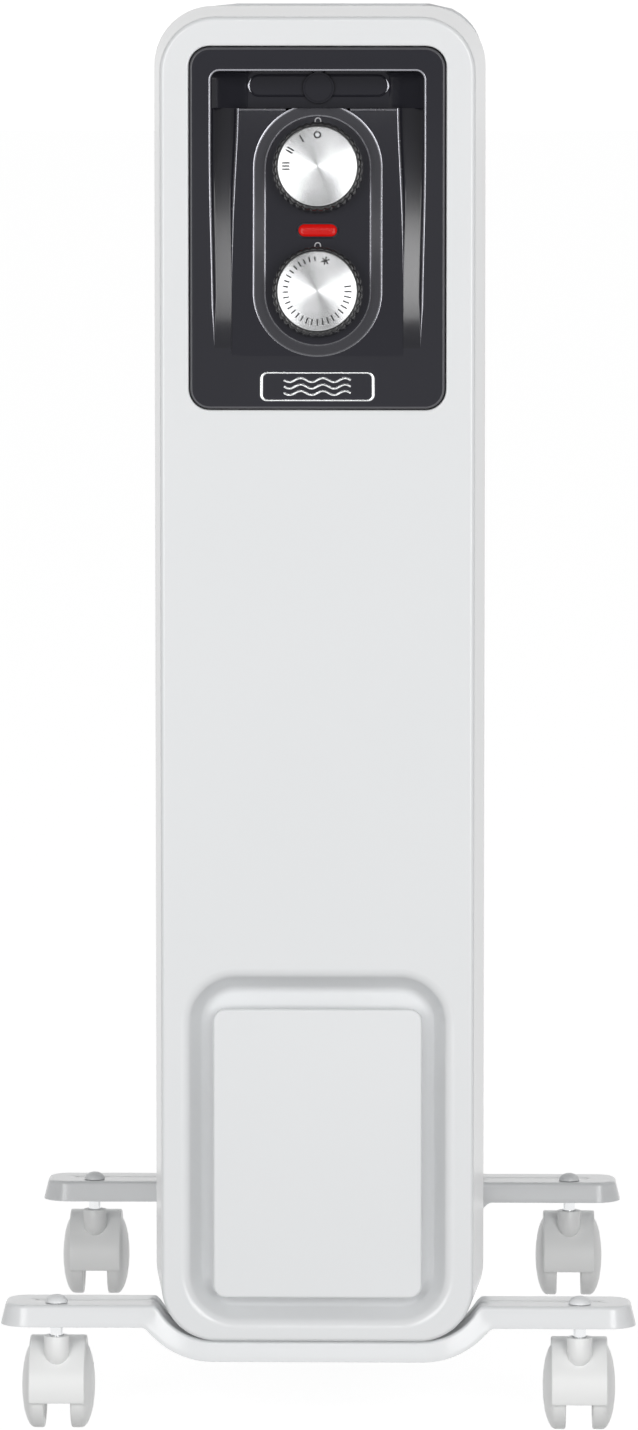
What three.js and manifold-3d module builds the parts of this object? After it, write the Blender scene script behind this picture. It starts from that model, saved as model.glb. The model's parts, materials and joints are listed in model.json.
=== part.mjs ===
// Oil filled radiator heater on four twin-wheel casters.
// Millimetres, +Z up, +X to the right of someone facing the controls, front face towards -Y.
// The origin is on the floor, at the centre of the heater's bounding box.
import * as THREE from 'three';
import { mergeVertices } from 'three/addons/utils/BufferGeometryUtils.js';
import Module from 'manifold-3d';

const wasm = await Module();
wasm.setup();

// ---------------------------------------------------------------- driving dimensions

const GAP = 0.3; // clearance between neighbouring pieces
const CUT = 1; // how far a cutting solid runs past the face it cuts
const SIDES = { round: 24, tube: 12, small: 12, rod: 8, corner: 4 }; // facets, and steps of a rounded corner

// Depths are measured from the plane of the cover's front face, towards the back.
const FACE_Y = -200.61;
const HEIGHT = 650;

const COVER = {
  faceHalf: 71, rimHalf: 75.5, faceTop: 645.5, faceBottom: 45.2, rimBottom: 44.9,
  faceCorner: 25, rimCorner: 27, edge: 2, depth: 59, wall: 1.5,
};
const HOUSING = { half: 75.2, bottom: 45.2, top: 649.7, corner: 26.7, front: 59.6, back: 68, lipFront: 50 };

const PANEL = {
  half: 57.25, bottom: 469.8, top: 631.7, corner: 9, front: -0.6, back: 4.4, flange: 3, flangeFront: 1.8,
};
// The scoop is flush at its foot, deepens upwards and ends in the grip pocket under the panel's top bar.
const SCOOP = {
  half: 47.7, foot: 497, shelf: 604.3, top: 621, wall: 2,
  ramp: [[504, 0.2], [560, 7.8], [588, 13], [604.3, 16.5]], // height and depth
  facetDepth: 13, pocketDepth: 27, pocketHalf: 32,
};
// The island stands in the scoop and leans back with the knobs, round the scoop's foot.
const ISLAND = { half: 37.4, lean: 6 * Math.PI / 180 };
// Along the leaning island, heights count up from the scoop's foot and depths in from its surface.
const WELL = { outer: 28.1, inner: 23.6, floor: 3.2 };
const SELECTOR = { at: 81.2, front: 13.2, half: 15, depth: 26 };
const THERMOSTAT = { at: 25.25, front: 9.6, half: 14, depth: 26 };
const KNOB = { radius: 20.5, front: -8.7, back: 2.8, dialRadius: 17.9, dialFront: -9, shaftRadius: 3 };
const LENS = { half: 8.65, radius: 2.7, at: 53.2, front: 1.8, back: 7 };
const SOCKET = 10; // how far a shaft goes into its control
const BADGE = { half: 25.95, halfHeight: 6.7, corner: 3, z: 479.9, front: -1.6, back: 0.4 };

const RECESS = { half: 61, bottom: 52, top: 215, corner: 24, depth: 11, slope: 8 };
const WRAP = {
  half: 47.4, bottom: 65, top: 197.5, corner: 5.8, front: 0.5, back: 3.5,
  postHalf: 30, postInset: 22, pegRadius: 2.5,
};

const FIN = {
  count: 9, first: 84, pitch: 39, half: 75, bottom: 48, top: HEIGHT, corner: 27, sheet: 1.6,
  channelHalf: 11, channelDepth: 5.5, channelPitch: 44,
  channelBottom: 86, channelTop: 614, middleBottom: 122, middleTop: 578,
  foldBottom: 90, foldTop: 610, foldDepth: 6, bossRadius: 24, bossDepth: 9,
};
const HEADER = { radius: 18, wall: 2, lowerZ: 100, upperZ: 600, back: 403 };
const ELEMENT = { rod: 4, bend: 7.5, tip: 385, terminals: 46 };
const PLUG = { hexRadius: 11, head: 7, shank: 12 };

const BRACKET = {
  half: 145, armTop: 60.5, armBottom: 50.8, saddleTop: 44.4, saddleBottom: 35.2, saddleHalf: 48,
  arc: 28.5, depth: 34.5, sheet: 1.5, endRadius: 12, stemInset: 10,
};
const HOOK_DEPTH = 18;
const BOLT_DEPTH = FIN.first + (FIN.count - 1.5) * FIN.pitch;
const FRONT_BRACKET = HOOK_DEPTH + 2.75;
const REAR_BRACKET = BOLT_DEPTH + 2.75;
const stemDepth = (bracket) => bracket - BRACKET.depth / 2 + BRACKET.stemInset;
const STEM_X = 119.4;

const CASTER = {
  wheel: 20, trail: 16, gapHalf: 6.1, treadOuter: 12.1, dome: 4.5, axle: 2, stem: 3,
  hoodHalf: 12.7, hoodOuter: 22.5, hoodInner: 20.7, webHalf: 5.6,
  boss: 6.15, bossBottom: 31, bossTop: 45.4, stemBottom: 34,
};
const CAP = { radius: 5.1, height: 3.6, wall: 1.4 };

const TERMINALS = {
  x: 0, z: 300, half: 24, halfHeight: 12, back: HOUSING.back - COVER.wall - GAP, depth: 18,
};
const CUTOUT = { x: 40, z: 430, radius: 11, back: HOUSING.back - COVER.wall - GAP };
const TILT = { x: -40, z: 240, half: 12, back: HOUSING.back - COVER.wall - GAP };
const GLAND = { x: 55, z: 100, barrel: 6.5, flange: 9, bore: 4.2 };
const BOLT = { rod: 3, legX: HEADER.radius + 4, bottom: 24 };

// ---------------------------------------------------------------- looks

const paint = (color) => new THREE.MeshStandardMaterial({ color, roughness: 0.35, metalness: 0 });
const metal = (color) => new THREE.MeshStandardMaterial({ color, roughness: 0.3, metalness: 1 });
const plastic = (color, roughness) => new THREE.MeshStandardMaterial({ color, roughness, metalness: 0 });

const LOOK = {
  enamel: paint(0xf1f3f4),
  charcoal: plastic(0x3a3a40, 0.2),
  black: plastic(0x141416, 0.4),
  white: plastic(0xeff0f0, 0.4),
  spun: metal(0xc9cacc),
  chrome: metal(0xdfe2e4),
  steel: metal(0x9a9c9e),
  brass: metal(0xb8954a),
  red: plastic(0xd2150f, 0.15),
  bakelite: plastic(0x6b5648, 0.6),
};

// ---------------------------------------------------------------- solids

/** Turns a closed three.js geometry into a manifold solid. */
function solid(geometry) {
  geometry.deleteAttribute('normal');
  geometry.deleteAttribute('uv');
  const merged = mergeVertices(geometry, 1e-4);
  return new wasm.Manifold(new wasm.Mesh({
    numProp: 3,
    vertProperties: new Float32Array(merged.attributes.position.array),
    triVerts: new Uint32Array(merged.index.array),
  }));
}

/** Turns a manifold solid back into a three.js geometry. */
function geometryOf(manifold) {
  const mesh = manifold.getMesh();
  const geometry = new THREE.BufferGeometry();
  geometry.setAttribute('position', new THREE.BufferAttribute(mesh.vertProperties, 3));
  geometry.setIndex(new THREE.BufferAttribute(mesh.triVerts, 1));
  geometry.computeVertexNormals();
  return geometry;
}

/** Makes one named sub-part. */
function part(name, manifold, look) {
  const mesh = new THREE.Mesh(geometryOf(manifold), look.clone());
  mesh.name = name;
  return mesh;
}

const box = (x0, x1, y0, y1, z0, z1) => solid(
  new THREE.BoxGeometry(x1 - x0, y1 - y0, z1 - z0).translate((x0 + x1) / 2, (y0 + y1) / 2, (z0 + z1) / 2),
);

const cylinderX = (radius, x0, x1, y, z, sides = SIDES.small) => solid(
  new THREE.CylinderGeometry(radius, radius, x1 - x0, sides)
    .rotateZ(Math.PI / 2).translate((x0 + x1) / 2, y, z),
);

const cylinderY = (radius, y0, y1, x, z, sides = SIDES.small) => solid(
  new THREE.CylinderGeometry(radius, radius, y1 - y0, sides).translate(x, (y0 + y1) / 2, z),
);

const cylinderZ = (radius, z0, z1, x, y, sides = SIDES.small) => solid(
  new THREE.CylinderGeometry(radius, radius, z1 - z0, sides)
    .rotateX(Math.PI / 2).translate(x, y, (z0 + z1) / 2),
);

const AXIS = {
  x: new THREE.Vector3(1, 0, 0),
  y: new THREE.Vector3(0, 1, 0),
  z: new THREE.Vector3(0, 0, 1),
};

/** Extrudes an outline drawn in (x, z) from y0 to y1. */
function extrudeY(shape, y0, y1, curveSegments = 6) {
  const geometry = new THREE.ExtrudeGeometry(shape, { depth: y1 - y0, bevelEnabled: false, curveSegments });
  return solid(geometry.rotateX(Math.PI / 2).translate(0, y1, 0));
}

/** Extrudes an outline drawn in (y, z) from x0 to x1. */
function extrudeX(shape, x0, x1, curveSegments = 6) {
  const geometry = new THREE.ExtrudeGeometry(shape, { depth: x1 - x0, bevelEnabled: false, curveSegments });
  const turn = new THREE.Matrix4().makeBasis(AXIS.y, AXIS.z, AXIS.x);
  return solid(geometry.applyMatrix4(turn).translate(x0, 0, 0));
}

/** Extrudes an outline drawn in (x, y) from z0 to z1. */
function extrudeZ(shape, z0, z1, curveSegments = 6) {
  const geometry = new THREE.ExtrudeGeometry(shape, { depth: z1 - z0, bevelEnabled: false, curveSegments });
  return solid(geometry.translate(0, 0, z0));
}

/** The points of a rounded rectangle, counter-clockwise, the same number whatever its size. */
function roundedPoints(half, bottom, top, corner, steps = SIDES.corner) {
  const centres = [
    [half - corner, top - corner],
    [corner - half, top - corner],
    [corner - half, bottom + corner],
    [half - corner, bottom + corner],
  ];
  return centres.flatMap(([x, z], quarter) => Array.from({ length: steps + 1 }, (_, step) => {
    const angle = (quarter + step / steps) * Math.PI / 2;
    return new THREE.Vector2(x + corner * Math.cos(angle), z + corner * Math.sin(angle));
  }));
}

/** A regular polygon round the origin, as the section of a rod. */
const rodSection = (radius) => new THREE.Shape(Array.from({ length: SIDES.rod }, (_, i) => {
  const angle = 2 * Math.PI * i / SIDES.rod;
  return new THREE.Vector2(radius * Math.cos(angle), radius * Math.sin(angle));
}));

const roundedShape = (...sizes) => new THREE.Shape(roundedPoints(...sizes));

/** Skins a closed solid over rounded rectangles, each [depth, half, bottom, top, corner], front to back. */
function loft(rings, steps = SIDES.corner) {
  const outlines = rings.map(([, ...sizes]) => roundedPoints(...sizes, steps));
  const count = outlines[0].length;
  const positions = outlines.flatMap((points, ring) => points.flatMap((p) => [p.x, rings[ring][0], p.y]));
  const index = [];
  for (let ring = 0; ring + 1 < rings.length; ring += 1) {
    for (let i = 0; i < count; i += 1) {
      const a = ring * count + i;
      const b = ring * count + (i + 1) % count;
      index.push(a, b + count, b, a, a + count, b + count);
    }
  }
  const last = (rings.length - 1) * count;
  for (const [a, b, c] of THREE.ShapeUtils.triangulateShape(outlines[0], [])) {
    index.push(a, b, c, last + a, last + c, last + b);
  }
  const geometry = new THREE.BufferGeometry();
  geometry.setAttribute('position', new THREE.Float32BufferAttribute(positions, 3));
  geometry.setIndex(index);
  return solid(geometry);
}

const unite = (...solids) => solids.reduce((whole, next) => whole.add(next));
const cut = (whole, ...tools) => tools.reduce((rest, tool) => rest.subtract(tool), whole);
const bothSides = (make) => [make(-1), make(1)];

// ---------------------------------------------------------------- control box

function frontCover() {
  const { faceHalf, faceTop, faceBottom, faceCorner, edge, depth, wall } = COVER;
  const { rimHalf, rimBottom, rimCorner } = COVER;
  const faceRing = (inset) => [faceHalf - inset, faceBottom + inset, faceTop - inset, faceCorner - inset];
  const shell = (inset, front, back) => loft([
    [front, ...faceRing(inset + edge)],
    [front + edge * 0.3, ...faceRing(inset + edge * 0.3)],
    [front + edge, ...faceRing(inset)],
    [back, rimHalf - inset, rimBottom + inset, HEIGHT - inset, rimCorner - inset],
  ]);
  const tray = (margin, front, back) => loft([
    [front, RECESS.half + margin, RECESS.bottom - margin, RECESS.top + margin, RECESS.corner],
    [back, RECESS.half - RECESS.slope + margin, RECESS.bottom + RECESS.slope - margin,
      RECESS.top - RECESS.slope + margin, RECESS.corner - RECESS.slope],
  ]);
  const hollow = shell(wall, wall, depth + CUT);
  const opening = roundedShape(
    PANEL.half + 2 * GAP, PANEL.bottom - 2 * GAP, PANEL.top + 2 * GAP, PANEL.corner + GAP,
  );
  const middle = (WRAP.bottom + WRAP.top) / 2;
  const pegHoles = bothSides((side) => cylinderY(
    WRAP.pegRadius + GAP, RECESS.depth - CUT, RECESS.depth + wall + CUT, side * 15, middle,
  ));
  const hookSlots = bothSides((side) => box(
    side * 30 - 7.5, side * 30 + 7.5, HOOK_DEPTH - 1.2, HOOK_DEPTH + 1.2,
    faceBottom - CUT, faceBottom + wall + CUT,
  ));
  return cut(
    unite(cut(shell(0, 0, depth), hollow), tray(wall, wall / 2, RECESS.depth + wall)),
    tray(0, 0, RECESS.depth),
    extrudeY(opening, -CUT, wall + CUT),
    ...pegHoles,
    ...hookSlots,
  );
}

function cordWrapPlate() {
  const middle = (WRAP.bottom + WRAP.top) / 2;
  const plate = extrudeY(roundedShape(WRAP.half, WRAP.bottom, WRAP.top, WRAP.corner), WRAP.front, WRAP.back);
  const post = extrudeY(
    roundedShape(WRAP.postHalf, WRAP.bottom + WRAP.postInset, WRAP.top - WRAP.postInset, WRAP.corner),
    WRAP.back - CUT, RECESS.depth - GAP,
  );
  const pegs = bothSides((side) => cylinderY(
    WRAP.pegRadius, RECESS.depth - CUT, RECESS.depth + COVER.wall + 3, side * 15, middle,
  ));
  return unite(plate, post, ...pegs);
}

function rearHousing() {
  const { half, bottom, top, corner, front, back, lipFront } = HOUSING;
  const { wall } = COVER;
  const lipInset = COVER.wall + 1.2;
  const skin = loft([[front + GAP, half, bottom, top, corner], [back, half, bottom, top, corner]]);
  const inner = (inset) => [half - inset, bottom + inset, top - inset, corner - inset];
  const lip = loft([[lipFront, ...inner(lipInset)], [front + CUT, ...inner(lipInset)]]);
  const cavity = inner(lipInset + wall);
  const hollow = loft([[lipFront - CUT, ...cavity], [back - wall, ...cavity]]);
  const gland = cylinderY(GLAND.barrel + GAP, back - wall - CUT, back + CUT, GLAND.x, GLAND.z);
  const header = cylinderY(HEADER.radius + GAP, back - wall - CUT, back + CUT, 0, HEADER.lowerZ, SIDES.tube);
  return cut(unite(skin, lip), hollow, gland, header);
}

/** Moves a solid built along the leaning island into the control box's own directions. */
const lean = (upright) => upright
  .rotate([-ISLAND.lean * 180 / Math.PI, 0, 0])
  .translate([0, PANEL.front, SCOOP.foot]);

/** A side view in (depth, height), from the scoop's foot up. */
const profile = (...points) => new THREE.Shape(points.map(([depth, z]) => new THREE.Vector2(depth, z)));

function controlPanel() {
  const { half, bottom, top, corner, front, back, flange, flangeFront } = PANEL;
  const { foot, shelf, ramp, facetDepth, pocketDepth, pocketHalf, wall } = SCOOP;
  const rampEnd = ramp[ramp.length - 1][1];
  const plate = extrudeY(roundedShape(half, bottom, top, corner), front, back);
  const rim = extrudeY(
    roundedShape(half + flange, bottom - flange, top + flange, corner + flange), flangeFront, back,
  );
  const bin = extrudeX(profile(
    [back - CUT, foot - 8], [back, foot - 8],
    [rampEnd + 2 * wall, shelf - 8], [pocketDepth + wall, shelf - 2],
    [pocketDepth + wall, SCOOP.top + wall], [back - CUT, SCOOP.top + wall],
  ), -SCOOP.half - wall, SCOOP.half + wall);
  const scoop = extrudeX(profile(
    [front, foot], ...ramp.map(([z, depth]) => [depth, z]), [front - CUT, shelf], [front - CUT, foot],
  ), -SCOOP.half, SCOOP.half);
  const pocket = extrudeZ(new THREE.Shape([
    [-SCOOP.half, front - CUT], [SCOOP.half, front - CUT],
    [SCOOP.half, facetDepth], [pocketHalf, pocketDepth],
    [-pocketHalf, pocketDepth], [-SCOOP.half, facetDepth],
  ].map(([x, depth]) => new THREE.Vector2(x, depth))), shelf, SCOOP.top);
  const rise = shelf - foot;
  const island = extrudeX(profile(
    [front, foot], [rampEnd + wall / 2, shelf], [front + rise * Math.tan(ISLAND.lean), shelf],
  ), -ISLAND.half, ISLAND.half);
  const well = lean(loft([
    [-CUT, ...wellOutline(WELL.outer + 1.4)],
    [WELL.floor, ...wellOutline(WELL.inner)],
  ], 8));
  const shaftHoles = [SELECTOR, THERMOSTAT].map((control) => (
    lean(cylinderY(KNOB.shaftRadius + GAP, 0, control.front + CUT, 0, control.at))
  ));
  const lensSeat = lean(extrudeY(pill(LENS.half + GAP, LENS.radius + GAP, LENS.at), 0, LENS.back + GAP));
  const badgeSeat = extrudeY(badgeOutline(GAP), front - CUT, BADGE.back + GAP);
  const shell = unite(cut(unite(plate, rim, bin), scoop, pocket), island);
  return cut(shell, well, ...shaftHoles, lensSeat, badgeSeat);
}

/** The stadium round both knobs, as the sizes of a rounded rectangle. */
const wellOutline = (radius) => [radius, THERMOSTAT.at - radius, SELECTOR.at + radius, radius - 0.01];

const pill = (half, radius, at) => roundedShape(half, at - radius, at + radius, radius - 0.01);

function indicatorLens() {
  return extrudeY(pill(LENS.half, LENS.radius, LENS.at), LENS.front, LENS.back);
}

function badgeOutline(margin) {
  const { half, halfHeight, z, corner } = BADGE;
  return roundedShape(half + margin, z - halfHeight - margin, z + halfHeight + margin, corner);
}

const badge = () => extrudeY(badgeOutline(0), BADGE.front, BADGE.back);

function knob({ at }) {
  const body = cylinderY(KNOB.radius, KNOB.front, KNOB.back, 0, at, 2 * SIDES.round);
  const seat = cylinderY(KNOB.dialRadius + GAP, KNOB.front - CUT, KNOB.front + 1.2, 0, at, SIDES.round);
  const hollow = cylinderY(KNOB.radius - 3, -1, KNOB.back + CUT, 0, at, SIDES.round);
  const hub = cylinderY(KNOB.shaftRadius + 3, -2, KNOB.back, 0, at);
  const socket = cylinderY(KNOB.shaftRadius + GAP, -3, KNOB.back + CUT, 0, at);
  return cut(unite(cut(body, seat, hollow), hub), socket);
}

const dial = ({ at }) => cylinderY(KNOB.dialRadius, KNOB.dialFront, KNOB.front + 0.9, 0, at, SIDES.round);

const shaft = ({ at, front }) => cylinderY(KNOB.shaftRadius, -2.7, front + SOCKET, 0, at);

/** A box-shaped control behind the panel, with a socket for its shaft. */
function controlBody({ at, front, half, depth }) {
  const body = box(-half, half, front, front + depth, at - half, at + half);
  const socket = cylinderY(KNOB.shaftRadius + GAP, front - CUT, front + SOCKET + GAP, 0, at);
  const tabs = bothSides((side) => box(
    side * half - 3, side * half + 3, front + depth / 2, front + depth / 2 + 8, at - 2.4, at + 2.4,
  ));
  return cut(unite(body, ...tabs), socket);
}

function terminalBlock() {
  const { x, z, half, halfHeight, back, depth } = TERMINALS;
  const body = box(x - half, x + half, back - depth, back, z - halfHeight, z + halfHeight);
  const wells = [-1, 0, 1].map((row) => cylinderY(3, back - depth - CUT, back - 5, x + row * 12, z));
  return cut(body, ...wells);
}

function thermalCutout() {
  const { x, z, radius, back } = CUTOUT;
  const can = cylinderY(radius, back - 8, back, x, z);
  const cap = cylinderY(radius - 2.5, back - 12, back - 7, x, z);
  const blades = bothSides((side) => box(
    x + side * 5 - 0.5, x + side * 5 + 0.5, back - 20, back - 11, z - 2.5, z + 2.5,
  ));
  return unite(can, cap, ...blades);
}

function tiltSwitch() {
  const { x, z, half, back } = TILT;
  const body = box(x - half, x + half, back - 14, back, z - 12, z + 12);
  const pendulum = cylinderY(5, back - 18, back - 13, x, z);
  return unite(body, pendulum);
}

function cordGland() {
  const { x, z, barrel, flange, bore } = GLAND;
  const inside = cylinderY(barrel, HOUSING.back - 8, HOUSING.back + CUT, x, z);
  const collar = cylinderY(flange, HOUSING.back + GAP, HOUSING.back + 2.5, x, z);
  const nose = cylinderY(barrel - 1, HOUSING.back + 2, HOUSING.back + 7, x, z);
  return cut(unite(inside, collar, nose), cylinderY(bore, HOUSING.back - 9, HOUSING.back + 8, x, z));
}

// ---------------------------------------------------------------- oil-filled stack

/** One pressed fin: sheet with upright oil channels, folded side edges and a boss round each header. */
function fin(depth) {
  const { half, bottom, top, corner, sheet, channelHalf, channelDepth, channelPitch } = FIN;
  const { channelBottom, channelTop, middleBottom, middleTop } = FIN;
  const { foldBottom, foldTop, foldDepth, bossRadius, bossDepth } = FIN;
  const plate = extrudeY(roundedShape(half, bottom, top, corner), depth - sheet / 2, depth + sheet / 2);
  const section = new THREE.Shape();
  section.moveTo(-channelHalf, depth);
  section.lineTo(-channelHalf / 2, depth - channelDepth);
  section.lineTo(channelHalf / 2, depth - channelDepth);
  section.lineTo(channelHalf, depth);
  section.lineTo(channelHalf / 2, depth + channelDepth);
  section.lineTo(-channelHalf / 2, depth + channelDepth);
  const channels = [
    extrudeZ(section, middleBottom, middleTop),
    ...bothSides((side) => (
      extrudeZ(section, channelBottom, channelTop).translate([side * channelPitch, 0, 0])
    )),
  ];
  const folds = bothSides((side) => box(
    side * (half - sheet / 2) - sheet / 2, side * (half - sheet / 2) + sheet / 2,
    depth - foldDepth, depth + foldDepth, foldBottom, foldTop,
  ));
  const bosses = [HEADER.lowerZ, HEADER.upperZ].map((z) => (
    cylinderY(bossRadius, depth - bossDepth, depth + bossDepth, 0, z, SIDES.tube)
  ));
  const holes = [HEADER.lowerZ, HEADER.upperZ].map((z) => (
    cylinderY(HEADER.radius + GAP, depth - bossDepth - CUT, depth + bossDepth + CUT, 0, z, SIDES.tube)
  ));
  return cut(unite(plate, ...channels, ...folds, ...bosses), ...holes);
}

/** A pipe along the stack; its bore can stop short of either end. */
function header(z, front, boreFront, boreBack) {
  const tube = cylinderY(HEADER.radius, front, HEADER.back, 0, z, SIDES.tube);
  const bore = cylinderY(HEADER.radius - HEADER.wall, boreFront, boreBack, 0, z, SIDES.tube);
  return cut(tube, bore);
}

/** Closed at the front, open at the back for the oil plug. */
function upperHeader() {
  const front = FIN.first - FIN.bossDepth - 2;
  return header(HEADER.upperZ, front, front + HEADER.wall, HEADER.back + CUT);
}

/** Open at the front, inside the control box, for the heating element. */
function lowerHeader() {
  const front = HOUSING.back - 6;
  return header(HEADER.lowerZ, front, front - CUT, HEADER.back - HEADER.wall);
}

function oilPlug() {
  const { hexRadius, head, shank } = PLUG;
  const { radius, wall, back, upperZ } = HEADER;
  const hex = cylinderY(hexRadius, back + CUT, back + head, 0, upperZ, 6);
  const washer = cylinderY(radius - 1, back + GAP, back + CUT + 0.5, 0, upperZ, SIDES.tube);
  const thread = cylinderY(radius - wall - GAP, back - shank, back + CUT, 0, upperZ, SIDES.tube);
  return unite(hex, washer, thread);
}

/** Hairpin rod on a screwed flange, with two terminals in the control box. */
function heatingElement() {
  const { rod, bend, tip, terminals } = ELEMENT;
  const flangeFront = HOUSING.back - 8;
  const path = new THREE.CurvePath();
  const start = new THREE.Vector3(-bend, terminals, 0);
  const turnStart = new THREE.Vector3(-bend, tip - bend, 0);
  const turnEnd = new THREE.Vector3(bend, tip - bend, 0);
  path.add(new THREE.LineCurve3(start, turnStart));
  const leftPull = new THREE.Vector3(-bend, tip + bend / 3, 0);
  const rightPull = new THREE.Vector3(bend, tip + bend / 3, 0);
  path.add(new THREE.CubicBezierCurve3(turnStart, leftPull, rightPull, turnEnd));
  path.add(new THREE.LineCurve3(turnEnd, new THREE.Vector3(bend, terminals, 0)));
  const hairpin = solid(new THREE.ExtrudeGeometry(
    rodSection(rod), { steps: 24, extrudePath: path, bevelEnabled: false },
  ));
  const flange = cylinderY(
    HEADER.radius - HEADER.wall - GAP, flangeFront, HOUSING.back + 4, 0, HEADER.lowerZ, SIDES.tube,
  );
  return unite(hairpin.translate([0, 0, HEADER.lowerZ]), flange);
}

// ---------------------------------------------------------------- feet

/** Front view of a foot bracket: straight arms and a saddle under the body's rounded bottom. */
function bracketOutline(inset) {
  const { half, armTop, armBottom, saddleTop, saddleBottom, saddleHalf, arc } = BRACKET;
  const centre = saddleTop + arc;
  const upper = arc + inset;
  const lower = centre - saddleBottom;
  const top = armTop - inset;
  const bottom = inset > 0 ? saddleBottom - CUT : saddleBottom;
  const armUnder = inset > 0 ? bottom : armBottom;
  const end = half - inset;
  const upperAngle = Math.acos((centre - top) / upper);
  const shape = new THREE.Shape();
  shape.moveTo(-end, armUnder);
  if (inset === 0) {
    const lowerAngle = Math.acos((centre - armUnder) / lower);
    shape.absarc(-saddleHalf, centre, lower, -Math.PI / 2 - lowerAngle, -Math.PI / 2, false);
    shape.absarc(saddleHalf, centre, lower, -Math.PI / 2, -Math.PI / 2 + lowerAngle, false);
  }
  shape.lineTo(end, armUnder);
  shape.lineTo(end, top);
  shape.absarc(saddleHalf, centre, upper, -Math.PI / 2 + upperAngle, -Math.PI / 2, true);
  shape.absarc(-saddleHalf, centre, upper, -Math.PI / 2, -Math.PI / 2 - upperAngle, true);
  shape.lineTo(-end, top);
  return shape;
}

/** A pressed channel, open underneath, with holes for the stems near its front. */
function footBracket(middle) {
  const { half, depth, sheet, endRadius, armTop, armBottom } = BRACKET;
  const front = middle - depth / 2;
  const back = middle + depth / 2;
  const plan = (inset) => {
    const points = roundedPoints(half - inset, front + inset, back - inset, endRadius - inset);
    return extrudeZ(new THREE.Shape(points), 0, armTop + CUT);
  };
  const outer = extrudeY(bracketOutline(0), front, back, 5).intersect(plan(0));
  const inner = extrudeY(bracketOutline(sheet), front, back, 5).intersect(plan(sheet));
  const stemHoles = bothSides((side) => cylinderZ(
    CASTER.stem + GAP, armBottom, armTop + CUT, side * STEM_X, stemDepth(middle),
  ));
  return cut(outer, inner, ...stemHoles);
}

/** The front bracket has two hooks that latch in slots in the cover's floor. */
function frontFootBracket() {
  const { saddleTop } = BRACKET;
  const hooks = bothSides((side) => box(
    side * 30 - 7, side * 30 + 7, HOOK_DEPTH - 0.8, HOOK_DEPTH + 0.8, saddleTop - CUT, saddleTop + 6,
  ));
  return unite(footBracket(FRONT_BRACKET), ...hooks);
}

/** The rear bracket is bored for the legs of the U-bolt. */
function rearFootBracket() {
  const legs = bothSides((side) => cylinderZ(
    BOLT.rod + GAP, BRACKET.saddleBottom, BRACKET.saddleTop + CUT, side * BOLT.legX, BOLT_DEPTH,
  ));
  return cut(footBracket(REAR_BRACKET), ...legs);
}

/** Hooks over the lower header and passes down through the rear bracket. */
function uBolt() {
  const { rod, legX, bottom } = BOLT;
  const path = new THREE.CurvePath();
  const steps = 12;
  const at = (x, z) => new THREE.Vector3(x, 0, z);
  path.add(new THREE.LineCurve3(at(-legX, bottom), at(-legX, HEADER.lowerZ)));
  for (let i = 0; i < steps; i += 1) {
    const [from, to] = [i, i + 1].map((step) => {
      const angle = Math.PI - step * Math.PI / steps;
      return at(legX * Math.cos(angle), HEADER.lowerZ + legX * Math.sin(angle));
    });
    path.add(new THREE.LineCurve3(from, to));
  }
  path.add(new THREE.LineCurve3(at(legX, HEADER.lowerZ), at(legX, bottom)));
  const geometry = new THREE.ExtrudeGeometry(
    rodSection(rod), { steps: 24, extrudePath: path, bevelEnabled: false },
  );
  return solid(geometry).translate([0, BOLT_DEPTH, 0]);
}

function wingNut(side) {
  const x = side * BOLT.legX;
  const top = BRACKET.saddleTop - BRACKET.sheet - GAP;
  const hub = cylinderZ(BOLT.rod + 3, top - 5.5, top, x, BOLT_DEPTH);
  const wings = box(x - 10.5, x + 10.5, BOLT_DEPTH - 1.2, BOLT_DEPTH + 1.2, top - 9, top - 1.5);
  return cut(unite(hub, wings), cylinderZ(BOLT.rod + GAP, top - 10, top + CUT, x, BOLT_DEPTH));
}

// ------------------------------------------------- casters, round their own stem on the floor

function casterStem() {
  return cylinderZ(CASTER.stem, CASTER.stemBottom, BRACKET.armTop + 1.6, 0, 0);
}

/** Quarter-round guard over both wheels, a web between them and a boss round the stem. */
function casterHood() {
  const { trail, wheel, hoodHalf, hoodOuter, hoodInner, webHalf, stem, axle } = CASTER;
  const { boss, bossBottom, bossTop, stemBottom } = CASTER;
  const from = 0.78 * Math.PI / 4;
  const to = Math.PI + 0.24;
  const guard = new THREE.Shape();
  guard.absarc(trail, wheel, hoodOuter, from, to, false);
  guard.absarc(trail, wheel, hoodInner, to, from, true);
  const web = new THREE.Shape();
  web.absarc(trail, wheel, hoodInner + CUT, from, to, false);
  web.lineTo(trail - 4, wheel - 6);
  web.lineTo(trail + 5, wheel - 5);
  const bossSolid = cylinderZ(boss, bossBottom, bossTop, 0, 0);
  const stemHole = cylinderZ(stem + GAP, stemBottom - GAP, bossTop + CUT, 0, 0);
  const axleHole = cylinderX(axle + GAP, -webHalf - CUT, webHalf + CUT, trail, wheel);
  const wheelRoom = [[-hoodHalf - CUT, -webHalf], [webHalf, hoodHalf + CUT]].map(([left, right]) => (
    cylinderX(hoodInner, left, right, trail, wheel, SIDES.round)
  ));
  const shell = extrudeX(guard, -hoodHalf, hoodHalf, 9);
  return cut(
    unite(shell, extrudeX(web, -webHalf, webHalf, 9), cut(bossSolid, ...wheelRoom)),
    stemHole,
    axleHole,
  );
}

function casterAxle() {
  const reach = CASTER.treadOuter + 1.5;
  return cylinderX(CASTER.axle, -reach, reach, 0, 0);
}

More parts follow.
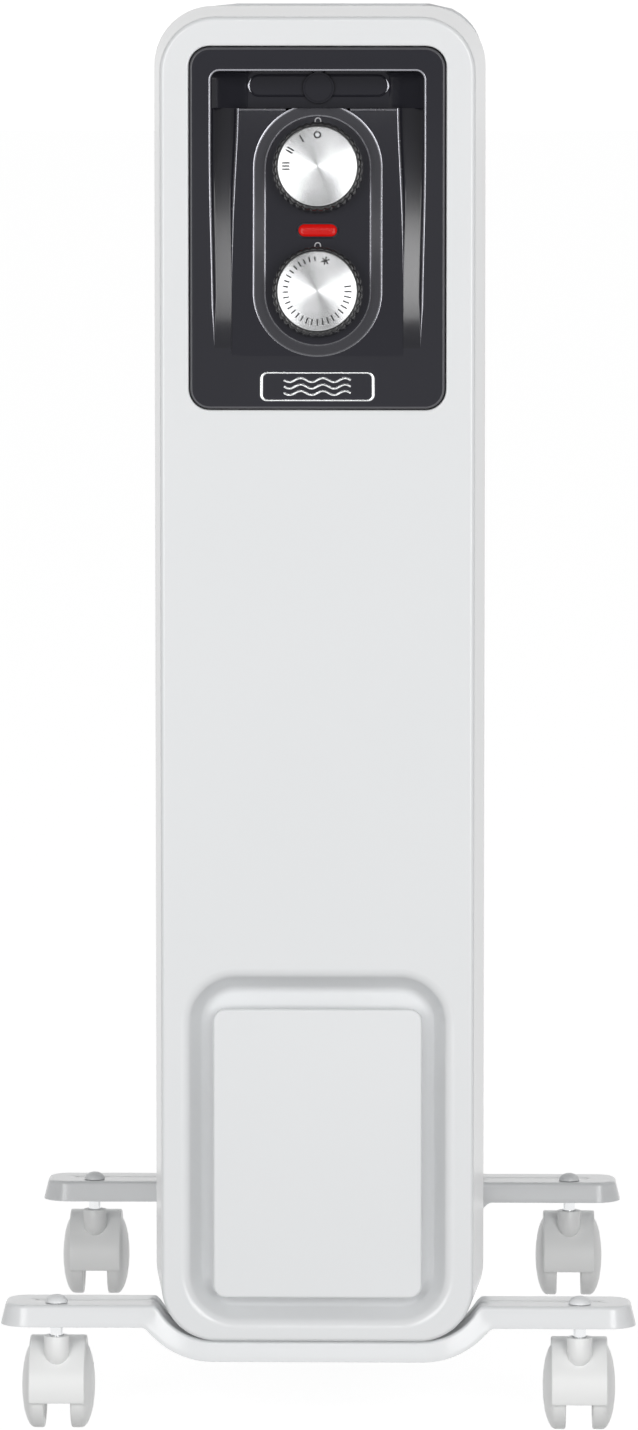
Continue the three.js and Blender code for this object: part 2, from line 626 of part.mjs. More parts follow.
/** Flat tread with a domed outer side, turned round X; side is +1 or -1. */
function casterWheel(side) {
  const { gapHalf, treadOuter, dome, wheel, axle } = CASTER;
  const hubEnd = treadOuter + 1.5 + GAP;
  const bore = axle + GAP;
  const domePoints = [0.88, 0.55, 0].map((fraction) => (
    new THREE.Vector2(wheel * fraction, treadOuter + dome * Math.sqrt(1 - fraction * fraction))
  ));
  const profile = [
    new THREE.Vector2(0, hubEnd),
    new THREE.Vector2(bore, hubEnd),
    new THREE.Vector2(bore, gapHalf),
    new THREE.Vector2(wheel - 0.6, gapHalf),
    new THREE.Vector2(wheel, gapHalf + 0.6),
    new THREE.Vector2(wheel, treadOuter),
    ...domePoints,
  ];
  const turned = new THREE.LatheGeometry(profile, SIDES.round);
  return solid(turned.rotateZ(side > 0 ? -Math.PI / 2 : Math.PI / 2));
}

function stemCap() {
  const { radius, height, wall } = CAP;
  const outer = [0, 30, 60, 90].map((degrees) => {
    const angle = degrees * Math.PI / 180;
    return new THREE.Vector2(radius * Math.cos(angle), height * Math.sin(angle));
  });
  const profile = [
    new THREE.Vector2(0, height - wall),
    new THREE.Vector2(radius - wall, height - wall - 0.2),
    new THREE.Vector2(radius - wall, 0),
    ...outer,
  ];
  profile[profile.length - 1].x = 0;
  const turned = new THREE.LatheGeometry(profile, SIDES.small).rotateX(Math.PI / 2);
  return solid(turned).translate([0, 0, BRACKET.armTop + GAP]);
}

/** One caster as a group that stands on the floor under its stem. */
function caster(prefix, x, depth) {
  const group = new THREE.Group();
  group.position.set(x, depth, 0);
  const wheels = new THREE.Group();
  wheels.position.set(0, CASTER.trail, CASTER.wheel);
  wheels.add(
    part(`${prefix}_axle`, casterAxle(), LOOK.steel),
    part(`${prefix}_wheel_left`, casterWheel(-1), LOOK.white),
    part(`${prefix}_wheel_right`, casterWheel(1), LOOK.white),
  );
  group.add(
    part(`${prefix}_stem`, casterStem(), LOOK.chrome),
    part(`${prefix}_hood`, casterHood(), LOOK.white),
    part(`${prefix}_cap`, stemCap(), LOOK.white),
    wheels,
  );
  return group;
}

// ---------------------------------------------------------------- assembly

/** Everything whose depth is counted from the face plane. */
const body = new THREE.Group();
body.position.set(0, FACE_Y, 0);
body.add(
  part('front_cover', frontCover(), LOOK.enamel),
  part('cord_wrap_plate', cordWrapPlate(), LOOK.white),
  part('rear_housing', rearHousing(), LOOK.enamel),
  part('control_panel', controlPanel(), LOOK.charcoal),
  part('badge', badge(), LOOK.chrome),
  part('terminal_block', terminalBlock(), LOOK.bakelite),
  part('thermal_cutout', thermalCutout(), LOOK.steel),
  part('tilt_switch', tiltSwitch(), LOOK.black),
  part('cord_gland', cordGland(), LOOK.black),
  part('heating_element', heatingElement(), LOOK.brass),
  part('upper_header', upperHeader(), LOOK.enamel),
  part('lower_header', lowerHeader(), LOOK.enamel),
  part('oil_plug', oilPlug(), LOOK.steel),
  part('front_foot_bracket', frontFootBracket(), LOOK.enamel),
  part('rear_foot_bracket', rearFootBracket(), LOOK.enamel),
  part('u_bolt', uBolt(), LOOK.steel),
  part('wing_nut_left', wingNut(-1), LOOK.steel),
  part('wing_nut_right', wingNut(1), LOOK.steel),
);

/** Knobs, shafts, lens and the controls behind them, all leaning with the island. */
const controls = new THREE.Group();
controls.position.set(0, PANEL.front, SCOOP.foot);
controls.rotation.x = -ISLAND.lean;
controls.add(
  part('indicator_lens', indicatorLens(), LOOK.red),
  part('function_knob', knob(SELECTOR), LOOK.black),
  part('function_dial', dial(SELECTOR), LOOK.spun),
  part('selector_shaft', shaft(SELECTOR), LOOK.steel),
  part('selector_switch', controlBody(SELECTOR), LOOK.bakelite),
  part('thermostat_knob', knob(THERMOSTAT), LOOK.black),
  part('thermostat_dial', dial(THERMOSTAT), LOOK.spun),
  part('thermostat_shaft', shaft(THERMOSTAT), LOOK.steel),
  part('thermostat_body', controlBody(THERMOSTAT), LOOK.bakelite),
);
body.add(controls);

for (let i = 0; i < FIN.count; i += 1) {
  body.add(part(`fin_${i + 1}`, fin(FIN.first + i * FIN.pitch), LOOK.enamel));
}

body.add(
  caster('front_left_caster', -STEM_X, stemDepth(FRONT_BRACKET)),
  caster('front_right_caster', STEM_X, stemDepth(FRONT_BRACKET)),
  caster('rear_left_caster', -STEM_X, stemDepth(REAR_BRACKET)),
  caster('rear_right_caster', STEM_X, stemDepth(REAR_BRACKET)),
);

const heater = new THREE.Group();
heater.add(body);

export default heater;
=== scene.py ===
"""Oil filled radiator heater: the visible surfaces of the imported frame, in metres.

X runs to the right of someone facing the controls, Y from the front to the back, Z up from the floor.
Lengths are written in millimetres and turned into metres by MM.
"""

import json
import math

import bmesh
import bpy
from mathutils import Matrix, Vector


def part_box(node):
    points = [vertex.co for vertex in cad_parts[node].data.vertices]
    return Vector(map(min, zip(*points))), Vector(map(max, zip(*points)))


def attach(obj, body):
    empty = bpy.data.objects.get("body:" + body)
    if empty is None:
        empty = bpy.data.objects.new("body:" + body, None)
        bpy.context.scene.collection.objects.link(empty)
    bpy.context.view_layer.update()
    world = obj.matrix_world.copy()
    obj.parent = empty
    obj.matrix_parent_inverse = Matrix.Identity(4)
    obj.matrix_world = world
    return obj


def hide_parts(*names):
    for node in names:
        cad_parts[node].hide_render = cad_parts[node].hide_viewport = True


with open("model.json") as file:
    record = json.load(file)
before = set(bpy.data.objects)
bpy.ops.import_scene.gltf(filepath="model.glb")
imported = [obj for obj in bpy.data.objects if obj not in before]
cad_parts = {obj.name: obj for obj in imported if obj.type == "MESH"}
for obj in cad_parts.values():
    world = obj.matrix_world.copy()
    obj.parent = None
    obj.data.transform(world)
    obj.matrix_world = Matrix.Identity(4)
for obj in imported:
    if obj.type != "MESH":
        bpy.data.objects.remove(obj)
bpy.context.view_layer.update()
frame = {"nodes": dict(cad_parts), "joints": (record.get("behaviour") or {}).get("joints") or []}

MM = 0.001
FACE_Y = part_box("front_cover")[0].y
JOINTS = {joint["name"]: joint for joint in frame["joints"]}
ROOT = "heater"


# ---------------- outlines


def arc(centre, radius, start, end, steps):
    """Points on a circle from one angle to another, in degrees, both ends included."""
    angles = [math.radians(start + (end - start) * i / steps) for i in range(steps + 1)]
    return [(centre[0] + radius * math.cos(a), centre[1] + radius * math.sin(a)) for a in angles]


def rounded(half, low, high, radius, steps=10):
    """A rounded rectangle in (x, z), centred on x = 0, counter-clockwise from its right side."""
    corners = [
        ((half - radius, high - radius), 0),
        ((radius - half, high - radius), 90),
        ((radius - half, low + radius), 180),
        ((half - radius, low + radius), 270),
    ]
    return [point for centre, start in corners for point in arc(centre, radius, start, start + 90, steps)]


def smoothstep(t):
    t = min(max(t, 0.0), 1.0)
    return t * t * (3 - 2 * t)


def mix(a, b, t):
    return tuple(p + (q - p) * t for p, q in zip(a, b))


def turns(steps):
    """Angles over a quarter turn, both ends included."""
    return [math.pi / 2 * i / steps for i in range(steps + 1)]


def quarter(steps):
    """(away from the flat, away from the side) round a quarter circle, from the flat to the side, 0 to 1."""
    return [(1 - math.cos(a), 1 - math.sin(a)) for a in turns(steps)]


def circle(radius, count):
    angles = [math.pi * 2 * i / count for i in range(count)]
    return [(radius * math.cos(a), radius * math.sin(a)) for a in angles]


def grown(sizes, by):
    """A rounded rectangle's sizes, (half, low, high, radius), moved outwards."""
    half, low, high, radius = sizes
    return (half + by, low - by, high + by, radius + by)


def at_depth(points, depth):
    return [(x, depth, z) for x, z in points]


def outline(plate, steps=10):
    """The loop of points of a plate, which is (depth, half, low, high, radius)."""
    depth, *sizes = plate
    return at_depth(rounded(*sizes, steps), depth)


def moved(x, y, z):
    """A shift by millimetres."""
    return Matrix.Translation((x * MM, y * MM, z * MM))


# A lathe's shapes stand up along Z. These lay them down.
TO_BACK = Matrix.Rotation(-math.pi / 2, 4, "X")
TO_FRONT = Matrix.Rotation(math.pi / 2, 4, "X")


# ---------------- mesh building


class Shape:
    """Vertices, in millimetres, and faces gathered for one mesh."""

    def __init__(self):
        self.points = []
        self.faces = []
        self.tones = []

    def add(self, points, faces, tone=0):
        """Tone is the material index of the faces."""
        first = len(self.points)
        self.points += [tuple(point) for point in points]
        self.faces += [tuple(first + i for i in face) for face in faces]
        self.tones += [tone] * len(faces)

    def loft(self, rings, start_cap=False, end_cap=False, closed=True, tone=0):
        """Skins rings of equally many points with quads, and can close the first and the last."""
        count = len(rings[0])
        faces = []
        for ring in range(len(rings) - 1):
            for i in range(count if closed else count - 1):
                a = ring * count + i
                b = ring * count + (i + 1) % count
                faces.append((a, a + count, b + count, b))
        if start_cap:
            faces.append(tuple(range(count)))
        if end_cap:
            faces.append(tuple(reversed(range((len(rings) - 1) * count, len(rings) * count))))
        self.add([point for ring in rings for point in ring], faces, tone)

    def plates(self, stack, start_cap=False, end_cap=False, steps=10, tone=0):
        """Lofts rounded rectangles, each (depth, half, low, high, radius), along Y."""
        self.loft([outline(plate, steps) for plate in stack], start_cap, end_cap, tone=tone)

    def lathe(self, profile, sides, wave=None):
        """Turns (radius, height) points round Z. wave(angle, radius, height) can change the radius."""
        rings = []
        for radius, height in profile:
            ring = []
            for i in range(sides):
                a = 2 * math.pi * i / sides
                r = wave(a, radius, height) if wave else radius
                ring.append((r * math.cos(a), r * math.sin(a), height))
            rings.append(ring)
        self.loft(rings, start_cap=profile[0][0] > 0, end_cap=profile[-1][0] > 0)

    def sweep(self, section, path, sides_up=(0, 0, 1)):
        """Carries a closed (across, up) section along a path of points, and closes both ends."""
        rings = []
        for i, point in enumerate(path):
            before = Vector(path[max(i - 1, 0)])
            after = Vector(path[min(i + 1, len(path) - 1)])
            ahead = (after - before).normalized()
            across = ahead.cross(Vector(sides_up)).normalized()
            up = across.cross(ahead)
            rings.append([Vector(point) + across * u + up * v for u, v in section])
        self.loft(rings, start_cap=True, end_cap=True)

    def mesh(self, name, matrix=None, sharp=35):
        data = bpy.data.meshes.new(name)
        data.from_pydata([Vector(p) * MM for p in self.points], [], self.faces)
        data.polygons.foreach_set("material_index", self.tones)
        bm = bmesh.new()
        bm.from_mesh(data)
        bmesh.ops.remove_doubles(bm, verts=bm.verts, dist=1e-6)
        bmesh.ops.recalc_face_normals(bm, faces=bm.faces)
        bm.to_mesh(data)
        bm.free()
        if matrix is not None:
            data.transform(matrix)
        data.shade_smooth()
        data.set_sharp_from_angle(angle=math.radians(sharp))
        crease_tones(data)
        return data


def crease_tones(data):
    """Marks the edges where two materials meet as sharp."""
    bm = bmesh.new()
    bm.from_mesh(data)
    for edge in bm.edges:
        if len({face.material_index for face in edge.link_faces}) > 1:
            edge.smooth = False
    bm.to_mesh(data)
    bm.free()


def fill(shape, loops, normal):
    """Fills a flat region that is bounded by loops of points, holes included."""
    bm = bmesh.new()
    for loop in loops:
        verts = [bm.verts.new(point) for point in loop]
        for i, vert in enumerate(verts):
            bm.edges.new((vert, verts[(i + 1) % len(verts)]))
    bmesh.ops.triangle_fill(bm, use_beauty=True, use_dissolve=False, edges=bm.edges, normal=normal)
    bm.verts.index_update()
    shape.add([v.co[:] for v in bm.verts], [[v.index for v in face.verts] for face in bm.faces])
    bm.free()


def place(name, data, material, body, slot, *nodes, matrix=None):
    """Puts a mesh in the scene as a piece that rides on a body and stands for CAD nodes."""
    piece = bpy.data.objects.new(name, data)
    bpy.context.scene.collection.objects.link(piece)
    if not data.materials:
        data.materials.append(material)
    if matrix is not None:
        piece.matrix_world = matrix
        bpy.context.view_layer.update()
    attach(piece, body)
    if nodes:
        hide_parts(*nodes)
    return piece


def applied(piece):
    """Bakes a piece's modifiers into its mesh."""
    bpy.context.view_layer.update()
    graph = bpy.context.evaluated_depsgraph_get()
    data = bpy.data.meshes.new_from_object(piece.evaluated_get(graph))
    piece.modifiers.clear()
    piece.data = data


def weigh(piece):
    """Lets large flat faces keep their own normals where they meet a rounding."""
    weighted = piece.modifiers.new("normals", "WEIGHTED_NORMAL")
    weighted.keep_sharp = True
    weighted.weight = 80
    applied(piece)


def thicken(piece, wall, edge, angle):
    """Gives a skin the thickness of its wall, and rounds its edges."""
    thick = piece.modifiers.new("wall", "SOLIDIFY")
    thick.thickness = wall * MM
    thick.offset = -1
    soft = piece.modifiers.new("edge", "BEVEL")
    soft.width = edge * MM
    soft.segments = 2
    soft.limit_method = "ANGLE"
    soft.angle_limit = math.radians(angle)
    applied(piece)


# ---------------- materials


def surface(name, **sockets):
    """A principled material with its plain sockets set. Returns it with its tree and shader."""
    material = bpy.data.materials.new(name)
    material.use_nodes = True
    tree = material.node_tree
    shader = tree.nodes["Principled BSDF"]
    for socket, value in sockets.items():
        shader.inputs[socket.replace("_", " ")].default_value = value
    return material, tree, shader


def node(tree, kind, **settings):
    made = tree.nodes.new(kind)
    for key, value in settings.items():
        if key in made.inputs:
            made.inputs[key].default_value = value
        else:
            setattr(made, key, value)
    return made


def coordinates(tree, scale=(1, 1, 1)):
    """Object coordinates, stretched by scale."""
    source = node(tree, "ShaderNodeTexCoord")
    mapping = node(tree, "ShaderNodeMapping")
    mapping.inputs["Scale"].default_value = scale
    tree.links.new(source.outputs["Object"], mapping.inputs["Vector"])
    return mapping.outputs["Vector"]


def noise(tree, vector, scale, detail=3.0):
    made = node(tree, "ShaderNodeTexNoise", Scale=scale, Detail=detail)
    tree.links.new(vector, made.inputs["Vector"])
    return made.outputs["Fac"]


def between(tree, factor, low, high):
    """Maps 0..1 to low..high."""
    made = node(tree, "ShaderNodeMapRange")
    made.inputs["To Min"].default_value = low
    made.inputs["To Max"].default_value = high
    tree.links.new(factor, made.inputs["Value"])
    return made.outputs["Result"]


def tint(tree, factor, low, high):
    """Blends two colours by a factor."""
    made = node(tree, "ShaderNodeMix", data_type="RGBA")
    made.inputs[6].default_value = (*low, 1)
    made.inputs[7].default_value = (*high, 1)
    tree.links.new(factor, made.inputs[0])
    return made.outputs[2]


def calculated(tree, operation, *sources):
    """One step of arithmetic. Returns its output."""
    made = node(tree, "ShaderNodeMath", operation=operation)
    for source, socket in zip(sources, made.inputs):
        tree.links.new(source, socket)
    return made.outputs[0]


def split_up(tree, coordinate):
    """The x, y and z outputs of one kind of coordinate."""
    source = node(tree, "ShaderNodeTexCoord")
    split = node(tree, "ShaderNodeSeparateXYZ")
    tree.links.new(source.outputs[coordinate], split.inputs["Vector"])
    return split.outputs


def bump(tree, shader, height, distance):
    made = node(tree, "ShaderNodeBump", Strength=1.0, Distance=distance * MM)
    tree.links.new(height, made.inputs["Height"])
    tree.links.new(made.outputs["Normal"], shader.inputs["Normal"])


DRIFT = 9  # scale of the slow changes of colour


def grained(name, low, high, rough, grain, depth, **sockets):
    """A skin whose colour and roughness drift a little, with a fine grain in its surface.

    It takes two colours, the range of roughness, and the scale and depth in millimetres of the grain.
    """
    material, tree, shader = surface(name, **sockets)
    vector = coordinates(tree)
    drift = noise(tree, vector, DRIFT)
    tree.links.new(tint(tree, drift, low, high), shader.inputs["Base Color"])
    fine = noise(tree, vector, grain, 2.0)
    tree.links.new(between(tree, fine, *rough), shader.inputs["Roughness"])
    bump(tree, shader, fine, depth)
    return material


def metal(name, stretch, scale, low, high, rough, depth=0):
    """Metal whose colour and roughness follow streaks of noise, stretched along the axes."""
    material, tree, shader = surface(name, Metallic=1.0)
    streaks = noise(tree, coordinates(tree, stretch), scale)
    tree.links.new(tint(tree, streaks, low, high), shader.inputs["Base Color"])
    tree.links.new(between(tree, streaks, *rough), shader.inputs["Roughness"])
    if depth:
        bump(tree, shader, streaks, depth)
    return material


def chrome(name):
    """Polished chrome with the slight haze of handling."""
    return metal(name, (1, 1, 1), 160.0, (0.80, 0.81, 0.82), (0.88, 0.89, 0.90), (0.05, 0.14))


def spun_aluminium():
    """A dial turned on a lathe: fine rings that draw every highlight out into two fans."""
    material, tree, shader = surface(
        "spun aluminium", Metallic=1.0, Anisotropic=0.93, Anisotropic_Rotation=0.25, Roughness=0.26,
    )
    tangent = node(tree, "ShaderNodeTangent", direction_type="RADIAL", axis="Z")
    tree.links.new(tangent.outputs["Tangent"], shader.inputs["Tangent"])
    flat = split_up(tree, "Object")
    squares = [calculated(tree, "MULTIPLY", flat[axis], flat[axis]) for axis in "XY"]
    radius = calculated(tree, "SQRT", calculated(tree, "ADD", *squares))
    rings = node(tree, "ShaderNodeTexNoise", noise_dimensions="1D", Scale=9000.0, Detail=2.0)
    tree.links.new(radius, rings.inputs["W"])
    colour = tint(tree, rings.outputs["Fac"], (0.42, 0.425, 0.43), (0.50, 0.505, 0.51))
    tree.links.new(colour, shader.inputs["Base Color"])
    return material


def lens_red():
    """Red lens with a neon lamp behind it."""
    material, tree, shader = surface(
        "lens", Base_Color=(0.36, 0.002, 0.002, 1), Roughness=0.22, Specular_IOR_Level=0.2,
    )
    ridges = noise(tree, coordinates(tree), 900.0)
    tree.links.new(tint(tree, ridges, (0.75, 0.0, 0.0), (1.0, 0.02, 0.01)), shader.inputs["Emission Color"])
    shader.inputs["Emission Strength"].default_value = 0.3
    bump(tree, shader, ridges, 0.05)
    return material


def print_ink(name, colour):
    """Printed or filled mark."""
    return grained(name, colour, tuple(c * 1.2 for c in colour), (0.45, 0.6), 2000, 0.004)


# Powder-baked paint with a faint orange peel, spark-eroded mouldings, and gloss for the panel.
SKINS = {
    "white_plastic": ((0.80, 0.815, 0.825), (0.84, 0.85, 0.86), (0.32, 0.44), 1500, 0.006),
    "caster_plastic": ((0.88, 0.885, 0.88), (0.91, 0.915, 0.91), (0.30, 0.42), 1700, 0.006),
    "panel_plastic": ((0.025, 0.025, 0.032), (0.029, 0.029, 0.037), (0.04, 0.06), 900, 0.00005),
    "knob_plastic": ((0.012, 0.012, 0.013), (0.020, 0.020, 0.021), (0.16, 0.24), 2200, 0.003),
    "black_plastic": ((0.015, 0.015, 0.016), (0.024, 0.024, 0.025), (0.42, 0.55), 1600, 0.010),
    "phenolic": ((0.12, 0.07, 0.045), (0.17, 0.10, 0.07), (0.5, 0.65), 1200, 0.010),
}
MATERIAL = {slot: grained(slot.replace("_", " "), *skin) for slot, skin in SKINS.items()}
MATERIAL.update({
    "enamel": grained(
        "enamel", (0.80, 0.815, 0.825), (0.83, 0.84, 0.85), (0.28, 0.31), 420, 0.0004,
        Coat_Weight=0.35, Coat_Roughness=0.12,
    ),
    "lens": lens_red(),
    "badge_chrome": chrome("badge chrome"),
    "spun_aluminium": spun_aluminium(),
    "steel": metal("steel", (60, 60, 900), 6.0, (0.52, 0.53, 0.54), (0.66, 0.67, 0.68), (0.24, 0.42), 0.01),
    "brass": metal("brass", (500, 60, 500), 4.0, (0.62, 0.46, 0.20), (0.78, 0.60, 0.30), (0.22, 0.38)),
    "stem_chrome": chrome("chrome"),
})
# Painted highlight: a light, partly metallic grey on the panel's rounded edges, standing for the bright lines that
# light draws along them.
PANEL_EDGE_HIGHLIGHT = grained(
    "panel painted edge highlight", (0.30, 0.30, 0.33), (0.36, 0.36, 0.39), (0.22, 0.3), 900, 0.001, Metallic=0.75,
)
# The rougher finish is the moulding's own; its lighter grey is painted sheen, standing for the light that the panel's
# rim and the well's wall catch.
PANEL_PAINTED_SHEEN = grained("panel painted sheen", (0.075, 0.075, 0.084), (0.085, 0.085, 0.095), (0.3, 0.4), 900, 0.001)
PANEL_RAMP = grained("panel ramp", (0.021, 0.021, 0.026), (0.025, 0.025, 0.031), (0.12, 0.14), 900, 0.0002)
DARK_INK = print_ink("dark ink", (0.008, 0.008, 0.008))
PALE_INK = print_ink("pale ink", (0.45, 0.45, 0.47))
# The second and third of these are painted light: the edge highlight and the sheen.
PANEL, EDGE_HIGHLIGHT_TONE, PAINTED_SHEEN_TONE, RAMP_TONE = range(4)  # the panel's materials, in this order


def finish(name, shape, slot, *nodes, body=ROOT, matrix=None, sharp=35):
    """Turns a shape into a piece with its slot's material."""
    return place(name, shape.mesh(name, matrix, sharp), MATERIAL[slot], body, slot, *nodes)


def turned(name, profile, sides, slot, *nodes, wave=None, **where):
    """A piece made on a lathe."""
    shape = Shape()
    shape.lathe(profile, sides, wave)
    return finish(name, shape, slot, *nodes, **where)


FACE = Matrix.Translation((0, FACE_Y, 0))


def edge_of(node, corner, axis):
    """One side of a CAD node's box, in millimetres from the face plane or the floor."""
    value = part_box(node)[corner][axis] / MM
    return value - FACE_Y / MM if axis == 1 else value


def sides_of(node):
    """Half width, bottom, top, front and back of a CAD node."""
    return (edge_of(node, 1, 0), edge_of(node, 0, 2), edge_of(node, 1, 2), edge_of(node, 0, 1), edge_of(node, 1, 1))


# ---------------- front cover

COVER_HALF, COVER_BOTTOM, COVER_TOP, _, COVER_BACK = sides_of("front_cover")
EDGE, LIP = 1.9, 0.9  # rounding between the cover's face and its sides, and round the panel's opening
WALL = 1.5
FACE_HALF, FACE_LOW, FACE_HIGH, FACE_CORNER = 71, 45.2, 645.5, 25  # where the sides start, before their draft
SIDE_START = 3
FLANGE = 3  # how far the panel runs behind the cover
PANEL_SIDE, PANEL_BOTTOM, PANEL_TOP, PANEL_FRONT, _ = sides_of("control_panel")
PANEL_BACK = 4.4
PANEL_FACE = (PANEL_SIDE - FLANGE, PANEL_BOTTOM + FLANGE, PANEL_TOP - FLANGE, 9)
RECESS = (61, 52, 215, 24)
RECESS_DEPTH = 11


def recess_profile():
    """(inset, depth) from the cover's face, over a soft edge, down the wall and into the floor."""
    slope = math.radians(56)
    soft, fillet = (
        [(radius * math.sin(slope * i / 8), radius * (1 - math.cos(slope * i / 8))) for i in range(9)]
        for radius in (6.0, 5.0)
    )
    run = RECESS_DEPTH - soft[-1][1] - fillet[-1][1]
    end = soft[-1][0] + run / math.tan(slope) + fillet[-1][0]
    points = soft + [(end - x, RECESS_DEPTH - y) for x, y in reversed(fillet)]
    return [(x - 1.5, y) for x, y in points]  # the recess is measured a little way down its soft edge


def front_cover():
    def ring(depth, inset):
        """The cover's outline at a depth. Its sides spread evenly towards the back."""
        share = (depth - SIDE_START) / (COVER_BACK - SIDE_START)
        grow = (COVER_HALF - FACE_HALF) * share
        low = FACE_LOW + (COVER_BOTTOM - FACE_LOW) * share
        high = FACE_HIGH + (COVER_TOP - FACE_HIGH) * share
        return (depth, FACE_HALF + grow - inset, low + inset, high - inset, FACE_CORNER + grow * 0.45 - inset)

    shape = Shape()
    stack = [ring(40, WALL), ring(COVER_BACK - 0.5, WALL), ring(COVER_BACK, WALL * 0.7), ring(COVER_BACK, 0.35)]
    stack += [ring(COVER_BACK - 0.4, 0), ring(COVER_BACK - 3, 0), ring(30, 0), ring(EDGE + 1.5, 0)]
    stack += [ring(EDGE * away, EDGE * side) for away, side in reversed(quarter(8))]
    shape.plates(stack, steps=14)
    opening = (*grown(PANEL_FACE, 0.55)[:3], PANEL_FACE[3] + 0.4)
    lip = [(LIP * away, *grown(opening, LIP * side)) for away, side in quarter(5)]
    lip += [(PANEL_BACK - 0.2, *opening), (PANEL_BACK, *grown(opening, 4))]
    shape.plates(lip)
    tray = [(depth, *grown(RECESS, -inset)) for inset, depth in recess_profile()]
    shape.plates(tray, steps=14)
    fill(shape, [outline(stack[-1], 14), outline(lip[0]), outline(tray[0], 14)], (0, -1, 0))
    fill(shape, [outline(tray[-1], 14)], (0, -1, 0))
    weigh(finish("front-cover", shape, "enamel", "front_cover", matrix=FACE, sharp=50))


def cord_wrap_plate():
    half, low, high, front, _ = sides_of("cord_wrap_plate")
    edge, hang = 1.3, 17.4  # rounding of the pad, and how far it hangs over its stem
    shape = Shape()
    pad, stem = (half, low, high, 5.8), (half - hang, low + hang, high - hang, 2)
    stack = [(RECESS_DEPTH - 0.3, *stem), (front + 3, *stem), (front + 3, *grown(pad, -0.5)), (front + 2.7, *pad)]
    stack += [(front + edge * away, *grown(pad, -edge * side)) for away, side in reversed(quarter(6))]
    shape.plates(stack, start_cap=True)
    fill(shape, [outline(stack[-1])], (0, -1, 0))
    weigh(finish("cord-wrap-plate", shape, "white_plastic", "cord_wrap_plate", matrix=FACE, sharp=50))


def centre_of(node):
    low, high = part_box(node)
    return (low + high) / 2 / MM


# radius, x and z
HOUSING_HOLES = [
    (18.3, 0, centre_of("lower_header").z),
    (6.8, centre_of("cord_gland").x, centre_of("cord_gland").z),
]


def rear_housing():
    half, low, high, _, back = sides_of("rear_housing")
    rim = (half, low, high, 26.7)
    edge, neck = 2.2, grown(rim, -2.9)
    shape = Shape()
    stack = [(50, *neck), (59.9, *neck), (59.9, *grown(rim, -0.4)), (60.3, *rim), (back - edge, *rim)]
    stack += [(back - edge * away, *grown(rim, -edge * side)) for away, side in reversed(quarter(6))]
    shape.plates(stack, steps=14)
    loops = [outline(stack[-1], 14)]
    for radius, x, z in HOUSING_HOLES:
        hole = arc((x, z), radius, 0, 360, 40)[:-1]
        loops.append(at_depth(hole, back))
        shape.loft([loops[-1], at_depth(hole, back - WALL)])
    fill(shape, loops, (0, 1, 0))
    weigh(finish("rear-housing", shape, "enamel", "rear_housing", matrix=FACE, sharp=50))


# ---------------- control panel


SCOOP_FOOT = 497
LEAN = math.atan2(-JOINTS["function_turn"]["axis"][2], JOINTS["function_turn"]["axis"][1])
CONTROLS = FACE @ moved(0, PANEL_FRONT, SCOOP_FOOT) @ Matrix.Rotation(-LEAN, 4, "X")
TO_FACE = FACE.inverted() @ CONTROLS
KNOB_AT = {"function": 81.2, "thermostat": 25.25}
WELL_HALF, WELL_FLOOR = 28.1, 3.2
# height, slope in degrees
RAMP = [(SCOOP_FOOT, 0.0), (500.5, 5.2), (511, 7.9), (520, 8.4), (553, 9.7), (588, 11.6), (604.3, 12.4)]
SCOOP_HALF, SCOOP_TOP, SCOOP_CORNER, SHELF = 47.7, 621, 3.75, 604.3
ISLAND_FOOT = 493.5
POCKET_HALF, POCKET_DEPTH, FACET_DEPTH = 31.8, 27, 13
CREST = 0.9  # rounding along the edges of the panel's hollows


def well_outline(radius):
    return rounded(radius, KNOB_AT["thermostat"] - radius, KNOB_AT["function"] + radius, radius - 0.01, 24)


def from_controls(x, depth, z):
    """A point given in the leaning directions of the controls, in those of the cover's face."""
    return TO_FACE @ Vector((x * MM, depth * MM, z * MM)) / MM


def arch(half, top, radius):
    """The part of a rounded rectangle that rises above the shelf."""
    return [(x, z) for x, z in rounded(half, 400, top, radius) if z > SHELF]


def ramp_rows(steps=96):
    """(height, depth) up the grip's ramp, whose slope changes gently."""
    rows = [(SCOOP_FOOT, PANEL_FRONT)]
    rise = (SHELF - SCOOP_FOOT) / steps
    for i in range(1, steps + 1):
        z = SCOOP_FOOT + rise * (i - 0.5)
        index = max(k for k, (height, _) in enumerate(RAMP[:-1]) if height <= z)
        (low, slope_low), (high, slope_high) = RAMP[index], RAMP[index + 1]
        slope = slope_low + (slope_high - slope_low) * (z - low) / (high - low)
        rows.append((SCOOP_FOOT + rise * i, rows[-1][1] + rise * math.tan(math.radians(slope))))
    return rows


def island_depth(z):
    return PANEL_FRONT + math.tan(LEAN) * max(z - ISLAND_FOOT, 0)


def island_half(z):
    return 38.6 - 1.8 * smoothstep((z - 555) / 50)


def scoop_half(z):
    return SCOOP_HALF - 1.4 * (1 - smoothstep((z - SCOOP_FOOT) / 90))


def corner_points(corner, out, down, radius, steps=4):
    """A quarter round, from a point along out to a point along down, which are unit steps."""
    points = []
    for a in turns(steps):
        u, v = radius * (1 - math.sin(a)), radius * (1 - math.cos(a))
        points.append(tuple(c + o * u + d * v for c, o, d in zip(corner, out, down)))
    return points


def channel_section(z, depth, side):
    """Across one channel of the grip, (x, depth) from the frame's face to the island's."""
    outer, inner = scoop_half(z), island_half(z)
    face, island = PANEL_FRONT, min(island_depth(z), depth)
    edge = min(CREST, 0.45 * (depth - face))
    fillet = min(1.2, 0.45 * (depth - face))
    root = min(1.2, 0.45 * (depth - island))
    crest = min(1.1, 0.45 * (depth - island))
    points = corner_points((outer, face), (1, 0), (0, 1), edge)
    points += corner_points((outer, depth), (0, -1), (-1, 0), fillet)
    points += corner_points((inner, depth), (1, 0), (0, -1), root)
    points += corner_points((inner, island), (0, 1), (-1, 0), crest)
    return [(side * x, d) for x, d in points]


